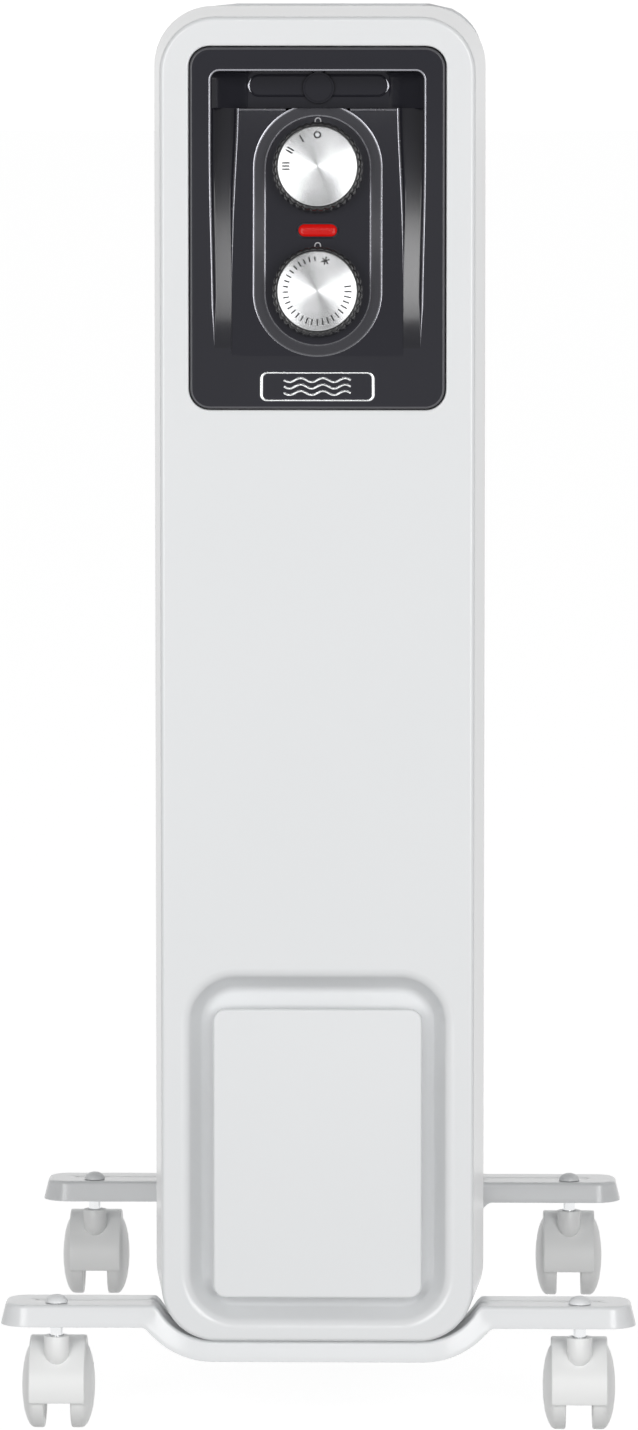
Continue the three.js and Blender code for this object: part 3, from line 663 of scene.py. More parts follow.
def control_panel():
    shape = Shape()
    shape.plates([(PANEL_BACK, *PANEL_FACE), (PANEL_FRONT + 1.0, *PANEL_FACE)], steps=12)
    # The rounding round the panel's face carries the painted sheen.
    rim = [(PANEL_FRONT + away, *grown(PANEL_FACE, -side)) for away, side in quarter(5)]
    shape.plates(rim, steps=12, tone=PAINTED_SHEEN_TONE)
    rows = ramp_rows()
    crests = {}
    # first point, last point and material of each strip of a channel's section; the crests at both ends carry the
    # painted edge highlight
    strips = [(0, 4, EDGE_HIGHLIGHT_TONE), (4, 9, PANEL), (9, 10, RAMP_TONE), (10, 15, PANEL), (15, 19, EDGE_HIGHLIGHT_TONE)]
    for side in (-1, 1):
        crests[side] = [[(x, d, z) for x, d in channel_section(z, depth, side)] for z, depth in rows]
        for first, last, tone in strips:
            shape.loft([section[first:last + 1] for section in crests[side]], closed=False, tone=tone)
    right, left = ([(section[0][0], section[0][2]) for section in crests[side]] for side in (1, -1))
    foot = island_half(SCOOP_FOOT)
    loop = [*right, *arch(SCOOP_HALF + CREST, SCOOP_TOP + CREST, SCOOP_CORNER + CREST), *reversed(left)]
    loop += [(-foot, SCOOP_FOOT), (-foot, ISLAND_FOOT), (foot, ISLAND_FOOT), (foot, SCOOP_FOOT)]
    fill(shape, [outline(rim[0], 12), at_depth(loop, PANEL_FRONT)], (0, -1, 0))
    island_face(shape, crests)
    grip_pocket(shape, rows[-1][1])
    data = shape.mesh("control panel", FACE, 28)
    piece = place("control-panel", data, MATERIAL["panel_plastic"], ROOT, "panel_plastic", "control_panel")
    for material in (PANEL_EDGE_HIGHLIGHT, PANEL_PAINTED_SHEEN, PANEL_RAMP):
        data.materials.append(material)
    weigh(piece)


def island_face(shape, crests):
    """The leaning face between the channels, with the stadium well let into it."""
    foot, limit = island_half(SCOOP_FOOT), SHELF - CREST
    edge = [(section[-1][0], section[-1][2]) for section in crests[1] if section[-1][2] < limit]
    right = [(foot, ISLAND_FOOT), (foot, SCOOP_FOOT), *edge[1:], (edge[-1][0], limit)]
    left = [(-x, z) for x, z in reversed(right)]
    well = [(x, from_controls(x, 0, z).z) for x, z in well_outline(WELL_HALF + CREST)]
    start = next(i for i, point in enumerate(well) if point[1] < limit <= well[i - 1][1])
    notch = [point for point in reversed(well[start:] + well[:start]) if point[1] < limit]
    gap = abs(notch[-1][0])
    loop = [*right, (gap, limit), *notch, (-gap, limit), *left]
    fill(shape, [[(x, island_depth(z), z) for x, z in loop]], (0, -1, 0))
    # The island's rounded top edge carries the painted edge highlight.
    for low, high in ((edge[-1][0], gap), (-gap, -edge[-1][0])):
        rings = []
        for a in turns(4):
            level = limit + CREST * math.sin(a)
            depth = island_depth(limit) + CREST * (1 - math.cos(a))
            rings.append([(low, depth, level), (high, depth, level)])
        shape.loft(rings, closed=False, tone=EDGE_HIGHLIGHT_TONE)
    well_rings(shape)


def well_rings(shape):
    """The well's wall and floor, as (inset, depth) in the island's own directions."""
    slope = [(-CREST, 0.0), (-0.45, 0.1), (0, 0.35)]
    wall = [(0, 0.35), (1.2, 1.15), (2.4, 1.98), (3.4, 2.66), (4.1, 3.0)]
    foot = [(4.1, 3.0), (4.7, WELL_FLOOR)]
    # The slope and the foot carry the painted edge highlight, the wall the painted sheen.
    for profile, tone in ((slope, EDGE_HIGHLIGHT_TONE), (wall, PAINTED_SHEEN_TONE), (foot, EDGE_HIGHLIGHT_TONE)):
        rings = []
        for inset, depth in profile:
            ring = [from_controls(x, depth, z) for x, z in well_outline(WELL_HALF - inset)]
            rings.append([(p.x, p.y, min(p.z, SHELF)) for p in ring])
        shape.loft(rings, tone=tone)
    floor_edge = [from_controls(x, WELL_FLOOR, z) for x, z in well_outline(WELL_HALF - foot[-1][0])]
    fill(shape, [[tuple(p) for p in floor_edge]], (0, -1, 0))


def grip_pocket(shape, shelf_depth):
    """The dark hollow behind the island, with slanting sides."""
    def ring(half, top, radius, depth):
        return [(half, depth, SHELF), *at_depth(arch(half, top, radius), depth), (-half, depth, SHELF)]

    # The pocket's rounded rim carries the painted edge highlight.
    rim = [
        ring(SCOOP_HALF + CREST * side, SCOOP_TOP + CREST * side, SCOOP_CORNER + CREST * side,
             PANEL_FRONT + CREST * away)
        for away, side in quarter(4)
    ]
    shape.loft(rim, closed=False, tone=EDGE_HIGHLIGHT_TONE)
    back = ring(POCKET_HALF, SCOOP_TOP - 1, 2.5, POCKET_DEPTH)
    shape.loft([rim[-1], ring(SCOOP_HALF, SCOOP_TOP, SCOOP_CORNER, FACET_DEPTH), back], closed=False)
    shape.add(back, [tuple(range(len(back)))])
    half, island = island_half(SHELF), island_depth(SHELF) + CREST
    right = [(POCKET_HALF, POCKET_DEPTH), (SCOOP_HALF, shelf_depth), (half, shelf_depth), (half, island)]
    loop = right + [(-x, depth) for x, depth in reversed(right)]
    fill(shape, [[(x, depth, SHELF) for x, depth in loop]], (0, 0, 1))


def pocket_parts():
    """A shallow slot on the pocket's back with a painted glint at each end, and the round cover of the screw in it.
    """
    slot = Shape()
    hole = (31.2, 609.6, 618.8, 4.5)
    rings = [(26.9, *grown(hole, 0.5)), (26.3, *grown(hole, 0.3)), (26.1, *hole), (26.4, *grown(hole, -0.4))]
    slot.plates([*rings, (26.8, *grown(hole, -0.5))], end_cap=True)
    finish("grip-slot", slot, "panel_plastic", matrix=FACE, sharp=50)
    # Each glint is a thin curved rod in the edge highlight material: a painted highlight at the slot's ends.
    for hand, side in (("left", -1), ("right", 1)):
        glint = Shape()
        rings = []
        for i, (x, z) in enumerate(arc((26.9, 614.2), 4.6, -42, 42, 16)):
            reach = 0.1 + 0.5 * math.sin(math.pi * i / 16)
            rings.append([(side * x + u, 26.0 + v / 2, z) for u, v in circle(reach, 8)])
        glint.loft(rings, True, True)
        place(f"grip-slot-glint-{hand}", glint.mesh("glint", FACE, 60), PANEL_EDGE_HIGHLIGHT, ROOT, "panel_plastic")
    cover = [(0.1, 0), (6.0, 0), (6.1, -0.25), (6.4, -0.25), (6.5, 0), (7.0, 0), (7.2, -0.3), (7.2, -3)]
    turned("screw-cover", cover, 48, "panel_plastic", matrix=FACE @ moved(0, 24.6, 613.3) @ TO_FRONT, sharp=30)


def indicator():
    at, half, radius = 53.2, 8.65, 2.7
    front, back, dome = 1.8, 7, 0.9
    body = (half, at - radius, at + radius, radius - 0.01)
    lens = Shape()
    stack = [(back, *body), (front + dome, *body)]
    for a in turns(7)[1:-1]:
        inset = radius * (1 - math.cos(a)) * 0.96
        stack.append((front + dome * (1 - math.sin(a)), *grown(body, -inset)))
    lens.plates(stack, True, True)
    finish("indicator-lens", lens, "lens", "indicator_lens", matrix=CONTROLS, sharp=60)
    collar = Shape()
    rim, hole = grown(body, 1.0), grown(body, 0.15)
    collar.plates([
        (WELL_FLOOR + 0.3, *rim), (WELL_FLOOR - 0.35, *grown(rim, -0.25)), (WELL_FLOOR - 0.45, *grown(rim, -0.5)),
        (WELL_FLOOR - 0.3, *hole), (WELL_FLOOR + 0.3, *hole),
    ])
    finish("lens-collar", collar, "panel_plastic", matrix=CONTROLS, sharp=40)


def badge():
    """A dark plate with a bright outline and three plain heat waves."""
    half, low, high, front, _ = sides_of("badge")
    ground = Shape()
    plate = (half - 0.5, low + 0.5, high - 0.5, 2.5)
    ground.plates([(front + 1.6, *plate), (front + 0.7, *plate)], True, True)
    finish("badge-ground", ground, "panel_plastic", "badge", matrix=FACE)
    frame_line = Shape()
    outer, inner = rounded(half, low, high, 3), rounded(half - 1.7, low + 1.0, high - 1.0, 2.2)
    frame_line.loft([
        at_depth([mix(a, b, share) for a, b in zip(outer, inner)], front + depth)
        for share, depth in ((0, 1.0), (0.15, 0.2), (0.5, 0), (0.85, 0.2), (1, 1.0))
    ])
    finish("badge-outline", frame_line, "badge_chrome", matrix=FACE, sharp=60)
    waves = Shape()
    section = [(1.1 * u, v) for u, v in circle(0.5, 10)]
    xs = [-15 + 30 * i / 48 for i in range(49)]
    for row in (-2.9, 0, 2.9):
        middle = (low + high) / 2 + row
        waves.sweep(section, [(x, front + 0.75, middle + 0.9 * math.sin(x * math.pi / 5)) for x in xs], (0, 1, 0))
    finish("badge-waves", waves, "badge_chrome", matrix=FACE, sharp=60)


TEETH = 36
MARK = (8.98, 9.03)  # from just inside the dial's face to just outside it


def knurled(angle, radius, height):
    """Cuts grooves into the outer surface of a knob."""
    if radius < 18.5:
        return radius
    return radius - 0.62 * (0.5 + 0.5 * math.cos(angle * TEETH)) ** 3


def knob(name, marks):
    """A knurled skirt with a spun dial on it, built upright and turned to face the front."""
    body = f"{name}_control"
    turn = CONTROLS @ moved(0, 0, KNOB_AT[name]) @ TO_FRONT
    skirt = [
        (17.2, -2.2), (20.1, -2.8), (20.45, -2.5), (20.4, 0), (20.2, 4), (19.95, 7.4), (19.8, 8.1), (19.4, 8.55),
        (18.9, 8.7), (18.35, 8.7), (18.15, 8.5), (18.15, 7.4),
    ]
    turned(f"{name}-knob", skirt, TEETH * 12, "knob_plastic", f"{name}_knob", wave=knurled, body=body,
           matrix=turn, sharp=40)
    disc = Shape()
    disc.lathe([(17.6, 7.8), (17.95, 8.0), (17.95, 8.72), (17.75, 8.93), (17.4, 9.0), (9, 9.0), (0.4, 9.0)], 128)
    # The dial keeps its own axes, which its spun look goes round.
    place(f"{name}-dial", disc.mesh(f"{name} dial", None, 40), MATERIAL["spun_aluminium"], body, "spun_aluminium",
          f"{name}_dial", matrix=turn)
    printed = Shape()
    marks(printed)
    place(f"{name}-marks", printed.mesh(f"{name} marks", turn, 30), DARK_INK, body, "knob_plastic")


def stroke(shape, corners):
    shape.loft([[(x, y, height) for x, y in corners] for height in MARK], False, True)


def bar(shape, angle, near, far, width, shift=0.0):
    """A raised stroke that runs away from the dial's middle. The angle is clockwise from the top."""
    a = math.radians(angle)
    out = Vector((math.sin(a), math.cos(a)))
    side = Vector((math.cos(a), -math.sin(a)))
    spots = ((near, -0.5), (far, -0.5), (far, 0.5), (near, 0.5))
    stroke(shape, [out * along + side * (shift + across * width) for along, across in spots])


def function_marks(shape):
    """A ring for off, and one, two and three strokes."""
    low, high = MARK
    ring = [(1.7, low), (1.7, high), (1.0, high), (1.0, low)]
    shape.loft([[(x, 14 + y, height) for x, y in circle(radius, 32)] for radius, height in ring])
    for angle, shifts in ((-30, (0,)), (-60, (-0.7, 0.7)), (-90, (-1.4, 0, 1.4))):
        for shift in shifts:
            bar(shape, angle, 12.5, 15.8, 0.68, shift)


def thermostat_marks(shape):
    """A frost star, and strokes that grow with the heat."""
    star = 15
    centre = 14 * Vector((math.sin(math.radians(star)), math.cos(math.radians(star))))
    for spoke in range(3):
        a = math.radians(star + 60 * spoke)
        reach = Vector((math.sin(a), math.cos(a))) * 1.9
        side = Vector((reach.y, -reach.x)).normalized() * 0.3
        stroke(shape, [centre - reach - side, centre + reach - side, centre + reach + side, centre - reach + side])
    count = 29
    for i in range(count):
        bar(shape, -4 - 9.8 * i, 13.3 - 1.0 * i / (count - 1), 15.5, 0.62)


def pointer(at):
    """A small open arch printed on the well's floor above a knob."""
    shape = Shape()
    outer, inner = (
        [(radius, at - 1.4), *arc((0, at), radius, 0, 180, 12), (-radius, at - 1.4)] for radius in (1.5, 1.0)
    )
    loop = outer + inner[::-1]
    low, high = WELL_FLOOR + 0.02, WELL_FLOOR - 0.05
    shape.loft([at_depth(loop, low), at_depth(loop, high)])
    shape.loft([at_depth(outer, high), at_depth(inner, high)], closed=False)
    place(f"pointer-{at:.0f}", shape.mesh("pointer", CONTROLS, 30), PALE_INK, ROOT, "panel_plastic")


# ---------------- fins and headers

FIN_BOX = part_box("fin_1")
FIN_HALF = FIN_BOX[1].x / MM
FIN_LOW, FIN_HIGH = FIN_BOX[0].z / MM, FIN_BOX[1].z / MM
FIN_CORNER, SHEET = 27, 0.8
FINS = 9
HEADERS = (centre_of("lower_header").z, centre_of("upper_header").z)
COLLAR, COLLAR_HALF = 18, 9  # radius of the headers, and half the width of a fin's bosses


def channel(x, z, centre, low, high):
    """Height of one pressed oil channel, a soft ridge with rounded ends."""
    across = abs(x - centre) / 11
    end = min(z - low, high - z) / 14
    if across >= 1 or end <= 0:
        return 0.0
    return 5.5 * smoothstep((1 - across) * 1.55) * smoothstep(end)


def pressed(x, z):
    """How far a fin's wall stands out from the middle of its sheet."""
    rise = max(channel(x, z, 0, 122, 578), channel(x, z, -44, 86, 614), channel(x, z, 44, 86, 614))
    for level in HEADERS:
        boss = smoothstep((27 - math.hypot(x, z - level)) / 6)
        web = smoothstep((14 - abs(z - level)) / 8) * smoothstep((50 - abs(x)) / 10)
        rise = max(rise, COLLAR_HALF * boss, 3.6 * web)
    return rise


def fin_data():
    """Both walls of a fin, and the folded seams along its sides."""
    shape = Shape()
    columns, rows = 84, 150
    levels = []
    for i in range(rows + 1):
        t = i / rows
        levels.append(FIN_LOW + (FIN_HIGH - FIN_LOW) * (t - math.sin(2 * math.pi * t) * 0.055))
    for side in (-1, 1):
        rings = []
        for z in levels:
            near = min(z - FIN_LOW, FIN_HIGH - z)
            reach = FIN_HALF
            if near < FIN_CORNER:
                reach -= FIN_CORNER - math.sqrt(max(FIN_CORNER ** 2 - (FIN_CORNER - near) ** 2, 0))
            row = []
            for c in range(columns + 1):
                x = reach * (2 * c / columns - 1)
                thickness = SHEET * min(1, (reach - abs(x)) / SHEET + 0.45)
                row.append((x, side * (thickness + pressed(x, z)), z))
            rings.append(row)
        shape.loft(rings, closed=False)
    section = rounded(SHEET, -6, 6, 0.75, 4)
    squeezed = ((88, 0.25), (92, 0.75), (100, 1), (300, 1), (600, 1), (608, 0.75), (612, 0.25))
    for side in (-1, 1):
        across = side * (FIN_HALF - SHEET)
        shape.loft([[(across + x, y * squeeze, z) for x, y in section] for z, squeeze in squeezed], True, True)
    return shape.mesh("fin", None, 40)


def fins():
    data = fin_data()
    for number in range(1, FINS + 1):
        node_name = f"fin_{number}"
        middle = moved(0, centre_of(node_name).y, 0)
        place(f"fin-{number}", data, MATERIAL["enamel"], ROOT, "enamel", node_name, matrix=middle)


def header(name, level):
    """Joined collars between the fins, each with a rounded neck."""
    low, high = edge_of(name, 0, 1), edge_of(name, 1, 1)
    first = centre_of("fin_1").y
    pitch = centre_of("fin_2").y - first
    profile = [(2, low), (COLLAR - 1.5, low), (COLLAR, low + 1.2)]
    for number in range(FINS - 1):
        start = first - FACE_Y / MM + number * pitch + COLLAR_HALF
        for t in (0, 0.12, 0.3, 0.42, 0.5, 0.58, 0.7, 0.88, 1):
            dip = 2.4 * smoothstep(1 - abs(t - 0.5) * 2.4)
            bulge = 0.9 if t == 0.5 else 0.0
            profile.append((COLLAR - dip + bulge, start + (pitch - 2 * COLLAR_HALF) * t))
    profile += [(COLLAR, high - 1.6), (COLLAR - 0.5, high - 0.5), (COLLAR - 1.6, high), (2, high)]
    turn = FACE @ moved(0, 0, level) @ TO_BACK
    turned(name.replace("_", "-"), profile, 64, "enamel", name, matrix=turn, sharp=40)


def hexagonal(angle, radius, height):
    return min(radius, 9.5 / math.cos((angle % (math.pi / 3)) - math.pi / 6))


def oil_plug():
    back = edge_of("oil_plug", 1, 1)
    seat = back - 7
    shape = Shape()
    shape.lathe([
        (2, seat - 18), (15, seat - 18), (15.2, seat - 1), (16.6, seat - 0.3), (17, seat + 0.2), (17, seat + 1.2),
        (16.4, seat + 1.6), (2, seat + 1.6),
    ], 64)
    shape.lathe([
        (9, seat + 1.4), (11, seat + 1.5), (11, back - 1.2), (10.2, back - 0.3), (9.4, back), (2, back),
        (1, back - 0.5),
    ], 96, hexagonal)
    turn = FACE @ moved(0, 0, centre_of("oil_plug").z) @ TO_BACK
    finish("oil-plug", shape, "steel", "oil_plug", matrix=turn, sharp=30)


def cord_gland():
    centre = centre_of("cord_gland")
    low, high = edge_of("cord_gland", 0, 1), edge_of("cord_gland", 1, 1)
    profile = [
        (4.4, low), (6.5, low), (6.5, high - 6.9), (8.6, high - 6.7), (9, high - 6.3), (9, high - 5),
        (8.6, high - 4.5), (5.6, high - 4.4), (5.5, high - 0.8), (5.0, high), (4.5, high), (4.2, high - 0.5),
        (4.2, low + 1),
    ]
    turn = FACE @ moved(centre.x, 0, centre.z) @ TO_BACK
    turned("cord-gland", profile, 48, "black_plastic", "cord_gland", matrix=turn, sharp=40)


# ---------------- feet

BRACKET_HALF, _, ARM_TOP, BRACKET_FRONT, BRACKET_BACK = sides_of("front_foot_bracket")
BRACKET_DEEP = (BRACKET_BACK - BRACKET_FRONT) / 2
SADDLE = (48, 72.9)  # the centre of the curve under the body, as x and z
ARM_BOTTOM = 50.8
UPPER, LOWER = 28.5, 37.7  # radius of that curve, along the bracket's upper and lower line


def saddle_height(x, radius, arm):
    """Height of a bracket's upper or lower line at x."""
    over = max(abs(x) - SADDLE[0], 0)
    if over >= radius:
        return arm
    return min(SADDLE[1] - math.sqrt(radius ** 2 - over ** 2), arm)


def eased_height(x, radius, arm, window):
    """The same height, averaged over a short stretch to soften the folds."""
    samples = [saddle_height(x + window * k / 6, radius, arm) for k in range(-6, 7)]
    return sum(samples) / len(samples)


def bracket_loop(inset):
    """A rounded rectangle seen from above, with its long sides divided finely near the folds."""
    radius = max(12 - inset, 0.6)
    inner, deep = BRACKET_HALF - inset - radius, BRACKET_DEEP - inset
    xs = [inner * (i / 75 - 1) for i in range(1, 150)]
    return [
        *arc((inner, radius - deep), radius, -90, 0, 12), *arc((inner, deep - radius), radius, 0, 90, 12),
        *((x, deep) for x in reversed(xs)),
        *arc((-inner, deep - radius), radius, 90, 180, 12), *arc((-inner, radius - deep), radius, 180, 270, 12),
        *((x, -deep) for x in xs),
    ]


def foot_bracket(name):
    rim = 1.9  # how far the walls lean out between the arm and the lower edge

    def ring(inset, drop):
        """A loop round the bracket: drop is 0 on the arm, 1 under its rounding and 2 at the lower edge."""
        points = []
        for x, y in bracket_loop(inset):
            top = eased_height(x, UPPER, ARM_TOP, 1.6)
            bottom = eased_height(x, LOWER, ARM_BOTTOM, 1.6)
            points.append((x, y, top - 2 * drop if drop < 1 else top - 2 + (bottom - top + 2) * (drop - 1)))
        return points

    rings = [ring(inset, 0) for inset in (BRACKET_DEEP - 0.1, 12, 6)]
    rings += [ring(rim + 2 * side, away) for away, side in quarter(6)]
    rings += [ring(rim * (2 - drop), drop) for drop in (1.25, 1.5, 1.75, 2.0)]
    shape = Shape()
    shape.loft(rings)
    piece_name = name.replace("_", "-")
    thicken(finish(piece_name, shape, "enamel", name, matrix=moved(0, centre_of(name).y, 0), sharp=50), 1.4, 0.35, 60)


# ---------------- casters

WHEEL, TRAIL = 20, 16
HOOD = 22.5
HOOD_START, HOOD_END = 35, 193.5  # degrees round the wheels, from the back
BOSS = [
    (0.1, 31.2), (1.6, 31.5), (3.2, 32.4), (4.6, 34.0), (5.5, 36.2), (5.8, 38.6), (5.8, 44.9), (5.6, 45.3),
    (5.2, 45.4), (3.4, 45.4), (3.3, 44.6),
]
STEM = [(2, 44), (3.0, 44), (3.0, 61.4), (2.4, 62), (1, 62.1)]
AXLE = [(0.5, -13.6), (1.6, -13.6), (2.0, -13.2), (2.0, 13.2), (1.6, 13.6), (0.5, 13.6)]
CAP_FOOT = 60.8


def hood_rings():
    """Sections of the guard over the wheels, from the back round to the front."""
    right = [(9, 0.0), *((12.0 + 0.9 * math.sin(a), 0.9 * (1 - math.cos(a))) for a in turns(8)), (12.9, 3.8)]
    section = [(-x, drop) for x, drop in reversed(right)] + [(x, 0.0) for x in (-6, -3, 0, 3, 6)] + right
    rings = []
    for i in range(41):
        a = math.radians(HOOD_START + (HOOD_END - HOOD_START) * i / 40)
        rings.append([
            (x, TRAIL + (HOOD - drop) * math.cos(a), WHEEL + (HOOD - drop) * math.sin(a)) for x, drop in section
        ])
    return rings


def wheel_profile():
    """(radius, distance from the caster's middle) of one wheel, from its bore out and over its dome."""
    inner = [(2.3, 6.1), (8, 6.1), (9, 7.0), (15.6, 7.0), (16.2, 6.1)]
    tread = [(19.2, 6.1), (19.75, 6.4), (20, 7.0), (20, 10.6), (19.8, 11.5)]
    dome = [(r, 10.7 + 6.0 * math.sqrt(1 - (r / WHEEL) ** 2)) for r in (19.2, 18.2, 16.6, 14.6, 12.2, 10.2)]
    centre = [(9.8, 15.5), (9.2, 15.5), (8.8, 16.0), (6, 16.4), (2.6, 16.6), (0.1, 16.6)]
    return [*inner, *tread, *dome, *centre]


def caster(prefix):
    stem = centre_of(f"{prefix}_stem")
    foot = moved(stem.x, stem.y, 0)
    hub = foot @ moved(0, TRAIL, WHEEL)
    corner = prefix.replace("_caster", "")
    swivel = f"{corner}_swivel"

    def part(name, profile, sides, slot, *nodes, **where):
        turned(f"{prefix}-{name}", profile, sides, slot, *nodes,
               **{"body": swivel, "matrix": foot, "sharp": 40, **where})

    hood = Shape()
    hood.loft(hood_rings(), closed=False)
    thicken(finish(f"{prefix}-hood", hood, "caster_plastic", f"{prefix}_hood", body=swivel, matrix=foot, sharp=60),
            1.5, 0.4, 50)
    web = Shape()
    side_view = arc((TRAIL, WHEEL), 21.2, HOOD_START, HOOD_END, 30) + [(TRAIL - 4, 14), (TRAIL + 5, 15)]
    web.loft([[(x, depth, z) for depth, z in side_view] for x in (-5.3, 5.3)], True, True)
    finish(f"{prefix}-web", web, "caster_plastic", body=swivel, matrix=foot, sharp=40)
    part("boss", BOSS, 48, "caster_plastic")
    part("stem", STEM, 40, "stem_chrome", f"{prefix}_stem")
    part("axle", AXLE, 24, "steel", f"{prefix}_axle", matrix=hub @ Matrix.Rotation(math.pi / 2, 4, "Y"))
    dome = [(5.1 * math.cos(a), CAP_FOOT + 3.55 * math.sin(a)) for a in turns(10)]
    dome[-1] = (0.05, dome[-1][1])
    cap = [(3.7, CAP_FOOT), (4.95, CAP_FOOT), *dome]
    part("cap", cap, 48, "white_plastic", f"{prefix}_cap", body=ROOT, sharp=50)
    for hand, sign in (("left", -1), ("right", 1)):
        part(f"wheel-{hand}", wheel_profile(), 72, "caster_plastic", f"{prefix}_wheel_{hand}",
             body=f"{corner}_wheel_{hand}", matrix=hub @ Matrix.Rotation(sign * math.pi / 2, 4, "Y"))


def u_bolt():
    low, high = (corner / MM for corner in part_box("u_bolt"))
    rod = 3
    reach = high.x - rod
    top = high.z - rod - reach
    leg = [(reach, 0, low.z + 0.2 + 2 * i) for i in range(int((top - low.z) / 2))]
    bow = [(x, 0, z) for x, z in reversed(arc((0, top), reach, 0, 180, 36))]
    shape = Shape()
    shape.sweep(circle(rod, 20), [*((-x, y, z) for x, y, z in leg), *bow, *reversed(leg)], (0, 1, 0))
    finish("u-bolt", shape, "steel", "u_bolt", matrix=moved(0, centre_of("u_bolt").y, 0), sharp=40)


def wing_nut(hand):
    node_name = f"wing_nut_{hand}"
    bottom, top = edge_of(node_name, 0, 2), edge_of(node_name, 1, 2)
    shape = Shape()
    shape.lathe([
        (3.3, bottom + 3.5), (5, bottom + 3.5), (5.6, bottom + 4.2), (6, top - 0.6), (5.6, top), (3.3, top),
    ], 40)
    # distance from the middle, lower and upper edge, half the thickness
    wing = ((5, 3.6, 0.8, 1.3), (7.5, 1.4, 1.6, 1.15), (9.6, 0.4, 2.6, 1.0), (10.4, 1.4, 3.6, 0.6))
    for sign in (-1, 1):
        rings = []
        for out, above, below, thick in wing:
            foot, crown = bottom + above, top - below
            section = [(-thick, foot + 0.5), (-thick / 2, foot), (thick / 2, foot), (thick, foot + 0.5)]
            section += [(thick, crown - 0.5), (thick / 2, crown), (-thick / 2, crown), (-thick, crown - 0.5)]
            rings.append([(sign * out, y, z) for y, z in section])
        shape.loft(rings, True, True)
    centre = centre_of(node_name)
    finish(node_name.replace("_", "-"), shape, "steel", node_name, matrix=moved(centre.x, centre.y, 0))


# ---------------- pieces kept from the frame

KEPT = {
    "terminal_block": "phenolic",
    "thermal_cutout": "steel",
    "tilt_switch": "black_plastic",
    "heating_element": "brass",
    "selector_switch": "phenolic",
    "thermostat_body": "phenolic",
    "selector_shaft": "steel",
    "thermostat_shaft": "steel",
}


def kept_pieces():
    for name, slot in KEPT.items():
        data = frame["nodes"][name].data
        data.materials.clear()
        data.materials.append(MATERIAL[slot])


# ---------------- studio


def ramped(tree, source, low, high, at_low, at_high):
    """A smooth step between two values. Returns its output."""
    step = node(tree, "ShaderNodeMapRange", interpolation_type="SMOOTHSTEP")
    for socket, value in (("From Min", low), ("From Max", high), ("To Min", at_low), ("To Max", at_high)):
        step.inputs[socket].default_value = value
    tree.links.new(source, step.inputs["Value"])
    return step.outputs["Result"]


def floor():
    """A pale sweep that glows in front and dims behind the heater, so that its edge melts into the room."""
    bpy.ops.mesh.primitive_plane_add(size=60)
    plane = bpy.context.active_object
    plane.name = "floor"
    material, tree, shader = surface(
        "floor", Roughness=0.9, Base_Color=(0.25, 0.25, 0.25, 1), Specular_IOR_Level=0.0,
        Emission_Color=(1, 1, 1, 1),
    )
    glow = ramped(tree, split_up(tree, "Object")["Y"], -8, -2, 0.3, 0.9)
    tree.links.new(glow, shader.inputs["Emission Strength"])
    plane.data.materials.append(material)
    plane.visible_diffuse = False


# name, degrees to the right of the front, degrees up, distance and size in metres, radiance
SOFTBOXES = (
    ("key", 0, 17.0, 3.2, (0.30, 0.29), 10.0),
    ("left fill", -21, 4, 2.7, (1.1, 1.7), 5.0),
    ("right fill", 21, 4, 2.7, (1.1, 1.7), 5.4),
)
LIT_HEIGHT = 0.45


def softbox(name, azimuth, elevation, away, size, radiance):
    """A rectangular lamp in front of the heater that faces the upper half of its cover."""
    aim = Vector((0, FACE_Y, LIT_HEIGHT))
    across, up = math.radians(azimuth), math.radians(elevation)
    out = Vector((math.sin(across) * math.cos(up), -math.cos(across) * math.cos(up), math.sin(up)))
    data = bpy.data.lights.new(name, "AREA")
    data.shape = "RECTANGLE"
    data.size, data.size_y = size
    data.energy = radiance * math.pi * size[0] * size[1]
    lamp = bpy.data.objects.new(name, data)
    bpy.context.scene.collection.objects.link(lamp)
    lamp.matrix_world = Matrix.Translation(aim + out * away) @ (-out).to_track_quat("-Z", "Y").to_matrix().to_4x4()


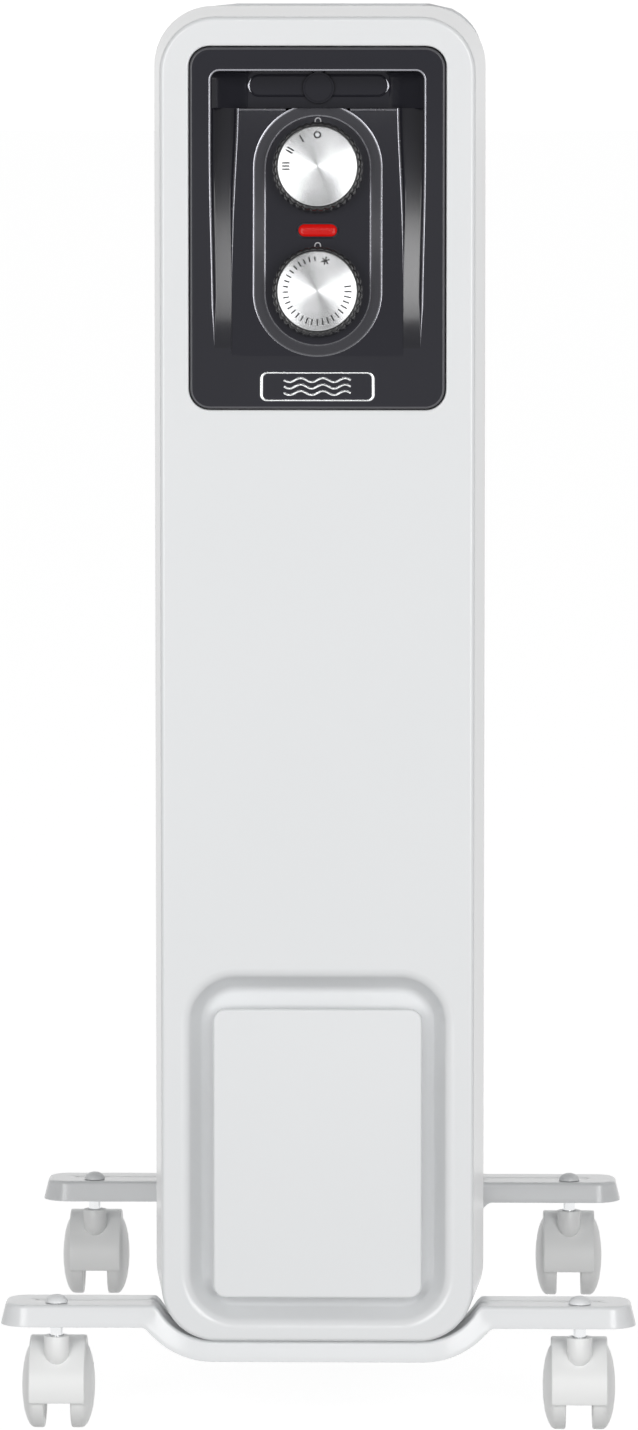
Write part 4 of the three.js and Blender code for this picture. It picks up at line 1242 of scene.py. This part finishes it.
def studio_light():
    """A grey room with a bright wall behind the heater and a bright horizon beside it, and the softboxes."""
    world = bpy.data.worlds.new("studio")
    world.use_nodes = True
    bpy.context.scene.world = world
    tree = world.node_tree
    background = tree.nodes["Background"]
    background.inputs["Color"].default_value = (1, 1, 1, 1)
    ahead = split_up(tree, "Generated")
    wall = ramped(tree, ahead["Y"], 0.25, 0.92, 0.24, 1.1)
    horizon = ramped(tree, ahead["Z"], 0.12, 0.3, 0.85, 0.0)
    beside = ramped(tree, ahead["Y"], -0.75, -0.35, 0.0, 1.0)
    above_floor = ramped(tree, ahead["Z"], -0.03, 0.0, 0.0, 1.0)
    for mask in (beside, above_floor):
        horizon = calculated(tree, "MULTIPLY", horizon, mask)
    tree.links.new(calculated(tree, "MAXIMUM", wall, horizon), background.inputs["Strength"])
    for box in SOFTBOXES:
        softbox(*box)
    view = bpy.context.scene.view_settings
    view.view_transform = "Standard"
    view.look = "None"


def camera():
    data = bpy.data.cameras.new("camera")
    data.lens = 191.3
    data.sensor_width = 36
    data.clip_end = 60
    eye = bpy.data.objects.new("camera", data)
    bpy.context.scene.collection.objects.link(eye)
    turn, tilt = 0.01929, 0.09653  # radians to the left and down
    ahead = Vector((-math.sin(turn) * math.cos(tilt), math.cos(turn) * math.cos(tilt), -math.sin(tilt)))
    stand = Matrix.Translation((0.06655, FACE_Y - 3.412, 0.662))
    eye.matrix_world = stand @ ahead.to_track_quat("-Z", "Y").to_matrix().to_4x4()
    bpy.context.scene.camera = eye


front_cover()
cord_wrap_plate()
rear_housing()
control_panel()
pocket_parts()
indicator()
badge()
knob("function", function_marks)
knob("thermostat", thermostat_marks)
pointer(KNOB_AT["function"] + 21.4)
pointer(KNOB_AT["thermostat"] + 21.2)
fins()
header("lower_header", HEADERS[0])
header("upper_header", HEADERS[1])
oil_plug()
cord_gland()
foot_bracket("front_foot_bracket")
foot_bracket("rear_foot_bracket")
for end in ("front", "rear"):
    for hand in ("left", "right"):
        caster(f"{end}_{hand}_caster")
u_bolt()
wing_nut("left")
wing_nut("right")
kept_pieces()
floor()
studio_light()
camera()
